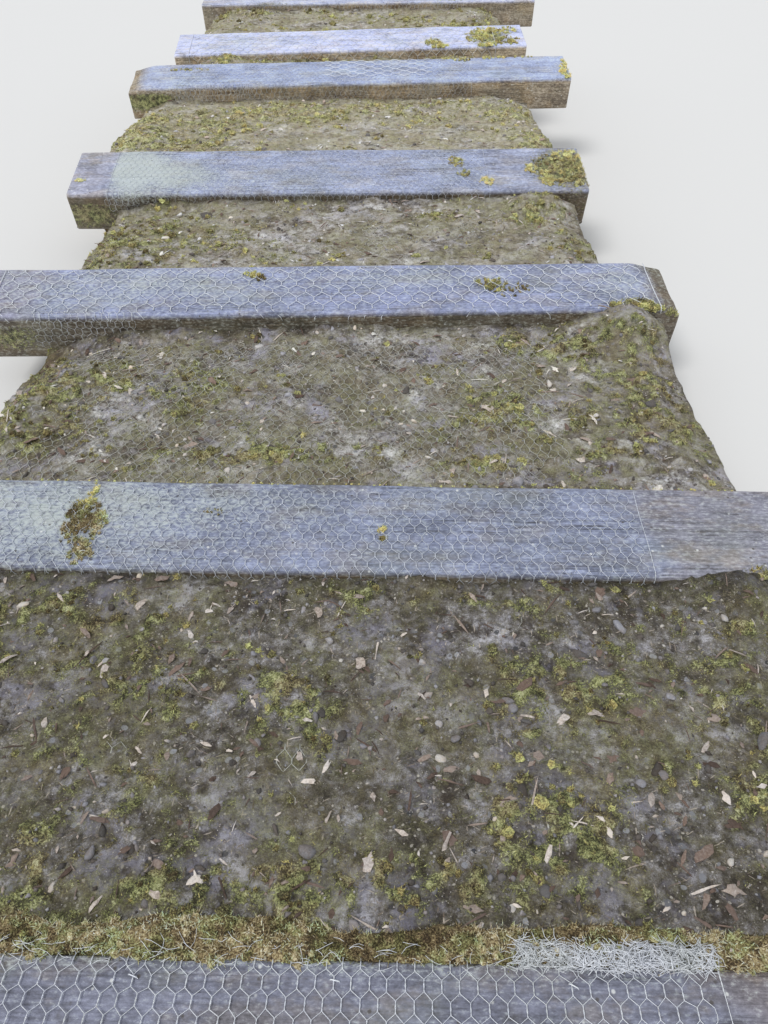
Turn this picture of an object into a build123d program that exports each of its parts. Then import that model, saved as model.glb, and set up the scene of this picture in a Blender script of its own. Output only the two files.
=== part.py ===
from build123d import *
from math import cos, hypot, radians, tan
import os

# Gentle outdoor steps: squared timbers set across the way, a packed-earth tread held behind each,
# and hexagonal wire netting laid over timbers and treads to give a grip.
# Millimetres. X runs across the flight, +Y up the flight, +Z up.
# The origin is the middle of the underside of the lowest timber.

# Timbers, lowest first
timber_lengths = [2100, 2100, 2100, 1980, 2190, 1920, 2100]
timber_depth = 150
timber_widths = [250, 250, 250, 300, 250, 270, 250]
goings = [955, 1000, 900, 1235, 570, 950]
rises = [57, 68, 62, 84, 39, 75]
side_shifts = [0, 0, -10, -60, -20, -35, 50]
forward_leans = [0, 5.8, 8.3, 12.6, 11.3, 11, 8]
skews = [-1.2, -1.4, 1.5, 1.5, 2, 2, 1]
end_falls = [0, 0, 0, 0, 0.8, 1.1, 0.5]

# Worn edges
front_arris = 14
back_arris = 8
end_arris = 10

# Damage, by timber: the side it is on, and for a split its place as a share of the timber's width
end_splits = {0: (1, 0.1), 2: (-1, -0.34), 3: (-1, 0.22), 5: (1, 0.1)}
split_length = 110
split_mouth = 7
split_depth = 45
worn_ends = {2: 1, 4: -1}
worn_length = 95
worn_drop = 34

# Treads
behind_step_downs = [10, 25, 30, 40, 50, 35]
riser_shows = [30, 60, 35, 80, 55, 45]
left_insets = [100, 180, 190, 30, 60, 80]
right_inset = 60
side_batter = 6
shoulder_width = 110
shoulder_fall = 38

# Fine netting: where each piece ends, and the wires round its edge
seat_gap = 0.3
net_lefts = [-880, -880, -870, -835, -855, -880, -900]
net_rights = [607, 704, 985, 610, 600, 790, 600]
lowest_net_drop = 120
net_hem_gap = 6
net_back_margin = 4
edge_wire = 2.4
tread_net_right = 607
tread_net_margin = 60

# Coarse netting, on one timber alone and as a patch over the fine netting of another
coarse_timber = 2
coarse_pitch = 50
coarse_row = 43
coarse_twist_length = 20
coarse_wire = 1.8
coarse_twist_width = 3.2
patch_timber = 4
patch_left = -116
patch_right = 464
patch_front_margin = 34

timber_count = len(timber_widths)
# A wire over the worn arris bends twice by 45 degrees, and each bend mitres at half of that
bend_mitre = tan(radians(45 / 2))


def prism_between(plane, points, low, high):
    """Prism of a closed outline drawn in a plane, from low to high along the plane's normal."""
    outline = make_face(plane * Polyline(*points, close=True))
    middle = plane.z_dir * ((low + high) / 2)
    return Pos(middle) * extrude(outline, (high - low) / 2, both=True)


def timber_place(index):
    """Place of the middle of a timber's top, with its skew, end fall and forward lean."""
    along = sum(goings[:index])
    height = timber_depth + sum(rises[:index])
    turn = Rotation(0, 0, skews[index])
    tip = Rotation(0, -end_falls[index], 0)
    lean = Rotation(forward_leans[index], 0, 0)
    return Pos(side_shifts[index], along, height) * turn * tip * lean


def timber_block(index):
    """Squared baulk whose top middle is the local origin."""
    width = timber_widths[index]
    return Pos(0, 0, -timber_depth / 2) * Box(timber_lengths[index], width, timber_depth)


def end_split(index, side, share):
    """Wedge-shaped drying split that opens at an end of a timber and dies out along it."""
    across = share * timber_widths[index]
    end = side * timber_lengths[index] / 2
    tip = end - side * split_length
    mouth = split_mouth / 2
    return prism_between(Plane.XY, [(end, across - mouth), (end, across + mouth), (tip, across)], -split_depth, 0)


def worn_end(index, side):
    """Wedge that takes the top corner off an end worn down by boots and weather."""
    half_width = timber_widths[index] / 2
    end = side * timber_lengths[index] / 2
    inner = end - side * worn_length
    return prism_between(Plane.XZ, [(end, 0), (end, -worn_drop), (inner, 0)], -half_width, half_width)


def worn_timber(index):
    """Timber with worn long arrises, eased ends, and the splits and worn corners of its own."""
    timber = timber_block(index)
    top_edges = timber.edges().filter_by(Axis.X).group_by(Axis.Z)[-1]
    timber = chamfer(top_edges.sort_by(Axis.Y)[0], front_arris)
    top_edges = timber.edges().filter_by(Axis.X).group_by(Axis.Z)[-1]
    timber = chamfer(top_edges.sort_by(Axis.Y)[-1], back_arris)
    timber = chamfer(timber.edges().filter_by(Axis.Z), end_arris)
    if index in worn_ends:
        timber -= worn_end(index, worn_ends[index])
    if index in end_splits:
        side, share = end_splits[index]
        timber -= end_split(index, side, share)
    return timber


def back_plane(index):
    """Plane of a timber's back face, facing up the flight."""
    half_width = timber_widths[index] / 2
    return Plane(timber_place(index) * Pos(0, half_width, 0) * Rotation(-90, 0, 0))


def arris_point(index, side):
    """Distance up the flight and height of the middle of a timber's front (-1) or back (1) top edge."""
    point = (timber_place(index) * Pos(0, side * timber_widths[index] / 2, 0)).position
    return point.Y, point.Z


def tread_ends(index):
    """Start and end points (along, height) of a tread's top line."""
    start_along, start_arris = arris_point(index, 1)
    end_along, end_arris_height = arris_point(index + 1, -1)
    start = (start_along, start_arris - behind_step_downs[index])
    end = (end_along, end_arris_height - riser_shows[index])
    return start, end


def timber_end(index, side):
    """X of a timber's left (-1) or right (1) end."""
    return side_shifts[index] + side * timber_lengths[index] / 2


def tread_side(index, side):
    """X of a tread's left or right top edge, inside the ends of both timbers that it lies between."""
    if side < 0:
        return max(timber_end(index, -1), timber_end(index + 1, -1)) + left_insets[index]
    return min(timber_end(index, 1), timber_end(index + 1, 1)) - right_inset


def tread_fill(index):
    """Packed earth from one timber's back face to the next one's, cut to a seat for that timber."""
    start, end = tread_ends(index)
    reach = 2 * timber_depth
    near = start[0] - reach
    far = end[0] + timber_widths[index + 1] + reach
    side_view = [(near, 0), (near, start[1]), start, end, (far, end[1]), (far, 0)]
    reach_across = max(timber_lengths)
    earth = prism_between(Plane.YZ, side_view, -reach_across, reach_across)
    earth = earth & tread_envelope(index, near, far)
    earth = split(earth, bisect_by=back_plane(index), keep=Keep.TOP)
    earth = split(earth, bisect_by=back_plane(index + 1), keep=Keep.BOTTOM)
    return earth - timber_place(index + 1) * timber_block(index + 1)


def tread_envelope(index, near, far):
    """Prism that trims a tread inside the timbers' ends, with sides that batter outward to the ground."""
    start, end = tread_ends(index)
    top = max(start[1], end[1])
    left = tread_side(index, -1)
    right = tread_side(index, 1)
    spread = top * tan(radians(side_batter))
    front_view = [
        (left - spread, 0), (left, top - shoulder_fall), (left + shoulder_width, top),
        (right - shoulder_width, top), (right, top - shoulder_fall), (right + spread, 0)]
    return prism_between(Plane.XZ, front_view, -far, -near)


def hex_hole():
    """Opening of one cell of the coarse netting, inset from the wire centre lines."""
    half = coarse_pitch / 2
    slant_rise = coarse_row - coarse_twist_length
    inset = coarse_wire / 2 * hypot(half, slant_rise) / half
    corner_x = half - coarse_twist_width / 2
    corner_y = coarse_twist_length / 2 + slant_rise * (coarse_twist_width / 2) / half - inset
    apex = coarse_row - coarse_twist_length / 2 - inset
    return make_face(Polyline(
        (corner_x, -corner_y), (corner_x, corner_y), (0, apex),
        (-corner_x, corner_y), (-corner_x, -corner_y), (0, -apex), close=True))


def netting_sheet(left, right, low, high, fold):
    """Flat lattice of coarse netting in the XY plane, whose twists run along Y and straddle the fold line."""
    middle_y = (low + high) / 2
    sheet = Pos((left + right) / 2, middle_y) * Rectangle(right - left, high - low)
    hole = hex_hole()
    rows = int((high - low) / coarse_row) + 2
    columns = int((right - left) / coarse_pitch) + 2
    holes = []
    for row in range(-rows, rows + 1):
        shift = coarse_pitch / 2 * (row % 2)
        for column in range(columns):
            holes.append(Pos(left + shift + column * coarse_pitch, fold + row * coarse_row) * hole)
    sheet -= holes
    for side_x in (left + edge_wire / 2, right - edge_wire / 2):
        sheet += Pos(side_x, middle_y) * Rectangle(edge_wire, high - low)
    return extrude(sheet, coarse_wire, dir=(0, 0, 1))


def cut_edge(left, right, y):
    """Straight wire that closes a cut edge of coarse netting."""
    return Pos((left + right) / 2, y, coarse_wire / 2) * Box(right - left, edge_wire, coarse_wire)


def arris_twists(index, left, right):
    """Twists of the coarse netting that cross the worn front arris between its two sheets."""
    front = -timber_widths[index] / 2
    inner = seat_gap
    outer = seat_gap + coarse_wire
    side_view = [
        (front - inner, -front_arris), (front + front_arris, inner),
        (front + front_arris, outer), (front - outer, -front_arris)]
    twists = []
    for column in range(int((right - left) / coarse_pitch)):
        x = left + (column + 0.5) * coarse_pitch
        twists.append(prism_between(Plane.YZ, side_view, x - coarse_twist_width / 2, x + coarse_twist_width / 2))
    return twists


def netting_drop(index):
    """Length of netting down a timber's front face, which stops just above the tread in front."""
    if index == 0:
        return lowest_net_drop
    low_end = timber_lengths[index] / 2 * tan(radians(end_falls[index]))
    return (riser_shows[index - 1] - net_hem_gap - low_end) / cos(radians(forward_leans[index]))


def netting_back(index):
    """Local Y at which the netting stops short of a timber's back arris."""
    return timber_widths[index] / 2 - back_arris - net_back_margin


def bent_wire(index, drop, x):
    """Wire that climbs a timber's front face, bends over its worn arris and crosses its top."""
    front = -timber_widths[index] / 2
    back = netting_back(index)
    inner = seat_gap
    outer = seat_gap + edge_wire
    inner_turn = front_arris - inner * bend_mitre
    outer_turn = front_arris - outer * bend_mitre
    side_view = [
        (front - inner, -drop), (front - inner, -inner_turn), (front + inner_turn, inner), (back, inner),
        (back, outer), (front + outer_turn, outer), (front - outer, -outer_turn), (front - outer, -drop)]
    return prism_between(Plane.YZ, side_view, x, x + edge_wire)


def netting_frame(index):
    """Edge wires of a piece of fine netting over a timber: two bent edges, a back edge and a hem."""
    left = net_lefts[index]
    right = net_rights[index]
    drop = netting_drop(index)
    height = seat_gap + edge_wire / 2
    middle = (left + right) / 2
    across = Box(right - left, edge_wire, edge_wire)
    frame = bent_wire(index, drop, left) + bent_wire(index, drop, right - edge_wire)
    frame += Pos(middle, netting_back(index) - edge_wire / 2, height) * across
    frame += Pos(middle, -timber_widths[index] / 2 - height, -drop + edge_wire / 2) * across
    return frame


def tread_frame(index):
    """Edge wires of the netting that lies on a tread."""
    start, end = tread_ends(index)
    going = end[0] - start[0]
    rise = end[1] - start[1]
    length = hypot(going, rise) - 2 * tread_net_margin
    left = tread_side(index, -1) + shoulder_width
    span = tread_net_right - left
    ring = Rectangle(span, length) - Rectangle(span - 2 * edge_wire, length - 2 * edge_wire)
    middle = ((left + tread_net_right) / 2, (start[0] + end[0]) / 2, (start[1] + end[1]) / 2)
    tread_plane = Plane(origin=middle, x_dir=(1, 0, 0), z_dir=(0, -rise, going))
    return tread_plane * Pos(0, 0, seat_gap) * extrude(ring, edge_wire, dir=(0, 0, 1))


def save(shape, name):
    """Write one piece to its own file."""
    export_step(shape, "parts/" + name + ".step")


os.makedirs("parts", exist_ok=True)

for index in range(timber_count):
    save(timber_place(index) * worn_timber(index), "riser_timber_%d" % (index + 1))

for index in range(timber_count - 1):
    save(tread_fill(index), "tread_fill_%d" % (index + 1))
    save(tread_frame(index), "tread_netting_%d" % (index + 1))

for index in range(timber_count):
    if index != coarse_timber:
        save(timber_place(index) * netting_frame(index), "timber_netting_%d" % (index + 1))

# Coarse netting over its timber: one sheet on the top, one bent down the front face
coarse_left = net_lefts[coarse_timber]
coarse_right = net_rights[coarse_timber]
coarse_front = -timber_widths[coarse_timber] / 2
coarse_drop = netting_drop(coarse_timber)
coarse_low = coarse_front + front_arris
coarse_high = netting_back(coarse_timber)
top_sheet = netting_sheet(coarse_left, coarse_right, coarse_low, coarse_high, coarse_low)
top_sheet += cut_edge(coarse_left, coarse_right, coarse_high - edge_wire / 2)
save(timber_place(coarse_timber) * Pos(0, 0, seat_gap) * top_sheet, "coarse_netting_3_top")

drop_sheet = netting_sheet(coarse_left, coarse_right, -coarse_drop, -front_arris, -front_arris)
drop_sheet += cut_edge(coarse_left, coarse_right, -coarse_drop + edge_wire / 2)
drop_sheet = Location((0, coarse_front - seat_gap, 0), (90, 0, 0)) * drop_sheet
drop_sheet += arris_twists(coarse_timber, coarse_left, coarse_right)
save(timber_place(coarse_timber) * drop_sheet, "coarse_netting_3_front")

# Patch of coarse netting laid over the fine netting
patch_low = -timber_widths[patch_timber] / 2 + patch_front_margin
patch_high = netting_back(patch_timber) - 2 * edge_wire
patch = netting_sheet(patch_left, patch_right, patch_low, patch_high, patch_low)
patch += cut_edge(patch_left, patch_right, patch_low + edge_wire / 2)
patch += cut_edge(patch_left, patch_right, patch_high - edge_wire / 2)
save(timber_place(patch_timber) * Pos(0, 0, seat_gap) * patch, "coarse_patch_5")
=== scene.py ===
from itertools import product
from math import cos, inf, pi, radians, sin, tan

import bmesh
import bpy
import numpy as np
from mathutils import Matrix, Vector


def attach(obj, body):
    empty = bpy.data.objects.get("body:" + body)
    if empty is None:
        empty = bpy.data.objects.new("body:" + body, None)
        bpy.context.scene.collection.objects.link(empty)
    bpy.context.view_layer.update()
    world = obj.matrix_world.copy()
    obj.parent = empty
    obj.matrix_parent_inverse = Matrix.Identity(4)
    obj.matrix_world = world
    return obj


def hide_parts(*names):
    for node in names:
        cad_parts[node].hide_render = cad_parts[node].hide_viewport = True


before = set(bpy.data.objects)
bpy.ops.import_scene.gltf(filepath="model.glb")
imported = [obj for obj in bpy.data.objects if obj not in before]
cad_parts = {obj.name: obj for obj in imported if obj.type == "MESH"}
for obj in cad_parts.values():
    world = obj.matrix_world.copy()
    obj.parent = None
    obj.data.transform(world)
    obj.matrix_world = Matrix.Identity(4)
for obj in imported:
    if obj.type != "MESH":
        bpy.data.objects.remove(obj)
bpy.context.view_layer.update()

# Sizes in metres, as in the CAD source. Timbers and treads are counted from the lowest, which is 0.
LENGTHS = [2.100, 2.100, 2.100, 1.980, 2.190, 1.920, 2.100]
WIDTHS = [0.250, 0.250, 0.250, 0.300, 0.250, 0.270, 0.250]
DEPTH = 0.150
GOINGS = [0.955, 1.000, 0.900, 1.235, 0.570, 0.950]
RISES = [0.057, 0.068, 0.062, 0.084, 0.039, 0.075]
SHIFTS = [0, 0, -0.010, -0.060, -0.020, -0.035, 0.050]
LEANS = [0, 5.8, 8.3, 12.6, 11.3, 11, 8]
SKEWS = [-1.2, -1.4, 1.5, 1.5, 2, 2, 1]
END_FALLS = [0, 0, 0, 0, 0.8, 1.1, 0.5]
FRONT_ARRIS, BACK_ARRIS = 0.014, 0.008
STEP_DOWNS = [0.010, 0.025, 0.030, 0.040, 0.050, 0.035]
RISER_SHOWS = [0.030, 0.060, 0.035, 0.080, 0.055, 0.045]
LEFT_INSETS = [0.100, 0.180, 0.190, 0.030, 0.060, 0.080]
RIGHT_INSET = 0.060
SIDE_BATTER = 6
SHOULDER, SHOULDER_FALL = 0.110, 0.038
NET_LEFTS = [-0.880, -0.880, -0.870, -0.835, -0.855, -0.880, -0.900]
NET_RIGHTS = [0.607, 0.704, 0.985, 0.610, 0.600, 0.790, 0.600]
TREAD_NET_RIGHT = 0.607
COUNT = len(LENGTHS)
TREADS = range(COUNT - 1)
UP = np.array([0.0, 0.0, 1.0])
MM, TENTH = 1000, 10000


def metres(table, per):
    """A table of millimetres or tenths in metres. per says, by column, how many make one; 1 keeps a column."""
    if isinstance(table, list):
        return [metres(part, per) for part in table]
    return tuple(value if k == 1 else value / k for value, k in zip(table, per))


# Smooth lattice noise, the same on every run
def hashed(ix, iy, iz, seed):
    """Three whole numbers and a seed, scrambled into -1 to 1."""
    h = (ix * 73856093) ^ (iy * 19349663) ^ (iz * 83492791) ^ ((seed + 1) * 40503 * 65537)
    h = h & 0xFFFFFFFF
    h = ((h ^ (h >> 13)) * 1274126177) & 0xFFFFFFFF
    h = h ^ (h >> 16)
    return (h & 0xFFFF) / 32767.5 - 1.0


def noise(points, scale, seed=0):
    q = points * np.asarray(scale, float)
    base = np.floor(q).astype(np.int64)
    f = q - base
    f = f * f * (3 - 2 * f)
    total = np.zeros(points.shape[:-1])
    for corner in product((0, 1), repeat=3):
        weight = 1
        for k, far in enumerate(corner):
            weight = weight * (f[..., k] if far else 1 - f[..., k])
        total = total + weight * hashed(*(base[..., k] + corner[k] for k in range(3)), seed)
    return total


def fbm(points, scale, octaves=3, seed=0, gain=0.5):
    """Noise summed over octaves, about -1 to 1."""
    scale = np.asarray(scale, float)
    total, size, reach = 0, 1.0, 0
    for k in range(octaves):
        total = total + size * noise(points, scale * 2 ** k, seed + 17 * k)
        reach += size
        size *= gain
    return total / reach


def xyz(x, y, z=0.0):
    """Points from their coordinates, some of which may be the same for all."""
    return np.stack(np.broadcast_arrays(x, y, z), -1)


def smooth(low, high, value):
    t = np.clip((value - low) / (high - low), 0, 1)
    return t * t * (3 - 2 * t)


def unit(vectors):
    return vectors / np.maximum(np.linalg.norm(vectors, axis=-1, keepdims=True), 1e-9)


def spots(x, y, marks, total=0.0):
    """A total with round-shouldered spots added to it (x, y, half width, half length, strength)."""
    for cx, cy, rx, ry, strength in marks:
        total = total + strength * np.exp(-((x - cx) / rx) ** 2 - ((y - cy) / ry) ** 2)
    return total


# Where the timbers and treads are
def timber_matrix(i):
    """Place of a timber: x along it, y across it, z = 0 on its top."""
    turn = Matrix.Rotation(radians(SKEWS[i]), 4, "Z")
    tip = Matrix.Rotation(radians(-END_FALLS[i]), 4, "Y")
    lean = Matrix.Rotation(radians(LEANS[i]), 4, "X")
    return Matrix.Translation((SHIFTS[i], sum(GOINGS[:i]), DEPTH + sum(RISES[:i]))) @ turn @ tip @ lean


MATRICES = [timber_matrix(i) for i in range(COUNT)]
AXES = [np.array(m.to_3x3()) for m in MATRICES]
ORIGINS = [np.array(m.translation) for m in MATRICES]


def face_y(i, side, x, z):
    """Y of a timber's front (-1) or back (1) face at world x and z."""
    n = AXES[i][:, 1]
    q = ORIGINS[i] + n * side * WIDTHS[i] / 2
    return q[1] - (n[0] * (x - q[0]) + n[2] * (z - q[2])) / n[1]


def under_z(i, x, y):
    """Height of a timber's underside at world x and y."""
    n = AXES[i][:, 2]
    q = ORIGINS[i] - n * DEPTH
    return q[2] - (n[0] * (x - q[0]) + n[1] * (y - q[1])) / n[2]


def tread_ends(i):
    """Y and z of a tread's near and far end, behind one timber and before the next."""
    a = np.array([0, WIDTHS[i] / 2, 0]) @ AXES[i].T + ORIGINS[i]
    b = np.array([0, -WIDTHS[i + 1] / 2, 0]) @ AXES[i + 1].T + ORIGINS[i + 1]
    return (a[1], a[2] - STEP_DOWNS[i]), (b[1], b[2] - RISER_SHOWS[i])


def tread_side(i, side):
    """X of a tread's left (-1) or right (1) side."""
    ends = [SHIFTS[k] + side * LENGTHS[k] / 2 for k in (i, i + 1)]
    return max(ends) + LEFT_INSETS[i] if side < 0 else min(ends) - RIGHT_INSET


# Soil that has piled up or been kicked away, by tread: x, y, half width, half length, height
MOUNDS = metres([
    [(920, 800, 160, 90, 35), (550, 790, 120, 60, 10), (-500, 800, 160, 50, 12), (360, 380, 70, 70, 10),
     (-30, 550, 50, 50, 12), (450, 300, 80, 60, 10)],
    [(900, 1800, 150, 110, 85), (-780, 1760, 180, 120, -45), (600, 1300, 160, 100, 12),
     (-820, 1350, 70, 160, 20), (440, 1410, 80, 80, 12)],
    [(750, 2660, 180, 80, 40), (-720, 2620, 140, 100, -30), (800, 2300, 140, 140, 15)],
    [(-920, 3400, 120, 300, 30), (-800, 3920, 200, 60, -10), (600, 3900, 300, 80, 20),
     (850, 3300, 140, 300, 20)],
    [(-700, 4460, 100, 60, 30), (550, 4450, 250, 80, 30), (750, 4300, 120, 100, 15)],
    [(450, 4900, 200, 100, 30), (700, 5300, 160, 200, 20), (-600, 5360, 140, 100, 20)],
], (MM,) * 5)
# Cushions and sheets of moss, by tread: x, y, half width, half length, strength
MOSSY = metres([
    [(-30, 550, 70, 60, 1), (360, 390, 100, 90, 0.9), (450, 290, 90, 50, 0.7), (-280, 590, 100, 80, 0.6),
     (-480, 740, 200, 50, 0.7), (300, 780, 300, 40, 0.7), (-250, 360, 140, 100, 0.5), (30, 460, 50, 40, 0.8),
     (500, 600, 120, 80, 0.6), (620, 400, 100, 60, 0.5), (200, 240, 400, 60, 0.5), (-300, 200, 500, 50, 0.5),
     (-780, 450, 120, 300, 0.6), (850, 550, 140, 300, 0.5)],
    [(440, 1410, 100, 120, 0.9), (720, 1210, 120, 60, 0.8), (600, 1720, 160, 80, 0.8),
     (-660, 1320, 120, 160, 0.8), (-630, 1560, 140, 140, 0.7), (90, 1240, 160, 50, 0.7),
     (-160, 1220, 200, 40, 0.8), (380, 1180, 100, 40, 0.9), (-300, 1450, 200, 120, 0.5),
     (-800, 1450, 80, 250, 0.9), (850, 1500, 120, 250, 0.8)],
    [(-680, 2350, 220, 240, 1), (850, 2300, 140, 140, 0.8), (540, 2230, 100, 60, 0.7),
     (320, 2570, 60, 50, 0.9), (-350, 2300, 200, 120, 0.5), (700, 2600, 140, 80, 0.8)],
    [(-920, 3360, 140, 260, 1.1), (-550, 3750, 200, 100, 0.6), (320, 3610, 140, 120, 0.9),
     (700, 3700, 200, 160, 0.8), (-700, 3150, 200, 80, 0.7), (800, 3200, 160, 200, 0.8),
     (200, 3850, 400, 60, 0.8), (-250, 3720, 340, 160, 0.9), (-620, 3500, 240, 200, 0.8)],
    [(-620, 4500, 200, 60, 1), (650, 4420, 250, 80, 0.9), (-300, 4450, 200, 50, 0.6),
     (100, 4400, 300, 100, 0.5)],
    [(-680, 5360, 180, 120, 1), (600, 5000, 240, 140, 1), (100, 5300, 300, 100, 0.7),
     (-200, 4950, 300, 100, 0.6)],
], (MM,) * 4 + (1,))


def moss_amount(i, x, y):
    """How mossy a tread is, 0 to about 1.5."""
    p = xyz(x, y)
    patches = 0.55 * fbm(p, 5, 3, 31 + i) + 0.45 * fbm(p, 17, 3, 47 + i)
    fine = fbm(p, 48, 2, 63 + i)
    return np.clip(spots(x, y, MOSSY[i]) * (0.75 + 0.9 * fine) + 0.95 * patches + 0.55 * fine - 0.02, 0, 1.5)


def soil_z(i, x, y):
    """Height of a tread's worn, lumpy surface."""
    (y0, z0), (y1, z1) = tread_ends(i)
    t = np.clip((y - y0) / (y1 - y0), 0, 1)
    p = xyz(x, y)
    edge = np.minimum(x - tread_side(i, -1), tread_side(i, 1) - x)
    z = z0 + (z1 - z0) * t - SHOULDER_FALL * (1 - smooth(-0.02, SHOULDER * 1.15, edge))
    z = z - 0.007 * (np.exp(-(x / 0.55) ** 2) * np.sin(pi * t))
    z = spots(x, y, MOUNDS[i], z)
    from_riser = face_y(i + 1, -1, x, z1) - y
    z = z + 0.016 * (np.exp(-(from_riser / 0.035) ** 2) * np.maximum(0, 0.5 + fbm(p, (9, 4, 1), 3, 53 + i)))
    z = z + 0.007 * fbm(p, 7, 2, 3 + i) + 0.0060 * fbm(p, 26, 2, 13 + i) + 0.0050 * fbm(p, 62, 2, 23 + i)
    return z + 0.009 * smooth(0.35, 0.95, moss_amount(i, x, y)) * (0.75 + 0.5 * noise(p, 60, 5))


# Meshes
def add_object(name, data):
    obj = bpy.data.objects.new(name, data)
    bpy.context.scene.collection.objects.link(obj)
    return obj


def add_mesh(name, points, faces, marks, material, replaces=(), matrix=None, shade_smooth=True):
    """One piece of the scene; its marks are numbers by point that its material reads."""
    mesh = bpy.data.meshes.new(name)
    mesh.from_pydata(np.asarray(points, float).tolist(), [], faces)
    mesh.validate()
    for key, values in marks.items():
        layer = mesh.attributes.new(key, "FLOAT", "POINT")
        layer.data.foreach_set("value", np.asarray(values, np.float32))
    mesh.polygons.foreach_set("use_smooth", np.full(len(mesh.polygons), shade_smooth))
    mesh.materials.append(material)
    obj = add_object(name, mesh)
    if matrix is not None:
        obj.matrix_world = matrix
    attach(obj, "root")
    if replaces:
        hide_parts(*replaces)


def grid_faces(rows, columns, wrap=False):
    """Quads of a grid of points, in a ring where it wraps."""
    r, c = np.meshgrid(np.arange(rows - 1), np.arange(columns if wrap else columns - 1), indexing="ij")
    d = (c + 1) % columns
    return np.stack([r * columns + c, r * columns + d, (r + 1) * columns + d, (r + 1) * columns + c], -1).reshape(-1, 4)


def tube_faces(rows, columns):
    """Faces of a closed tube: its sides and both caps."""
    caps = [list(range(columns))[::-1], [(rows - 1) * columns + k for k in range(columns)]]
    return grid_faces(rows, columns, True).tolist() + caps


class Gather:
    """Collects loose shapes into one mesh."""

    def __init__(self):
        self.points, self.faces, self.tints, self.count = [], [], [], 0

    def add(self, points, faces, tint=0.5):
        """Adds a shape, with its faces as an array or, where their lengths differ, as a list."""
        if isinstance(faces, np.ndarray):
            self.faces += (faces + self.count).tolist()
        else:
            self.faces += [[k + self.count for k in face] for face in faces]
        self.points.append(points)
        self.tints.append(np.broadcast_to(tint, len(points)))
        self.count += len(points)

    def add_copies(self, bodies, faces, tints):
        """Adds many shapes of one kind, given as copies by points by axes."""
        n, size = bodies.shape[:2]
        repeated = faces[None] + (np.arange(n) * size)[:, None, None]
        self.add(bodies.reshape(-1, 3), repeated.reshape(-1, 3), tints)

    def tube(self, path, normals, radius, sides=3, tint=0.5):
        """Closed tube along a path, with its first side toward the normals."""
        tangent = unit(np.gradient(path, axis=0))
        side = unit(np.cross(tangent, normals))
        up = np.cross(side, tangent)
        angles = pi / 2 + np.arange(sides) * 2 * pi / sides
        ring = (path[:, None] + radius * (np.cos(angles)[None, :, None] * side[:, None]
                                          + np.sin(angles)[None, :, None] * up[:, None]))
        self.add(ring.reshape(-1, 3), tube_faces(len(path), sides), tint)

    def wire(self, path, normals, keep, radius, end_bend=lambda: 0.0):
        """Tubes along the kept parts of a path, the end of each bent up."""
        normals = np.broadcast_to(normals, path.shape)
        edges = np.flatnonzero(np.diff(np.concatenate([[0], keep.astype(int), [0]])))
        for a, b in zip(edges[::2], edges[1::2]):
            if b - a >= 2:
                run = path[a:b].copy()
                run[-1] += normals[b - 1] * end_bend()
                self.tube(run, normals[a:b], radius)

    def build(self, name, material, slot="packed_earth", replaces=(), matrix=None, shade_smooth=True):
        add_mesh(name, np.concatenate(self.points), self.faces, {"tint": np.concatenate(self.tints)}, material,
                 replaces, matrix, shade_smooth)


# Materials
class Value:
    """A shader socket that can be added to, subtracted from and multiplied."""

    def __init__(self, paint, socket):
        self.paint, self.socket = paint, socket

    def __add__(self, other):
        return self.paint.node("Math", 0, (self, other), operation="ADD")

    def __sub__(self, other):
        return self.paint.node("Math", 0, (self, other), operation="SUBTRACT")

    def __mul__(self, other):
        return self.paint.node("Math", 0, (self, other), operation="MULTIPLY")

    __rmul__ = __mul__


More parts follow.
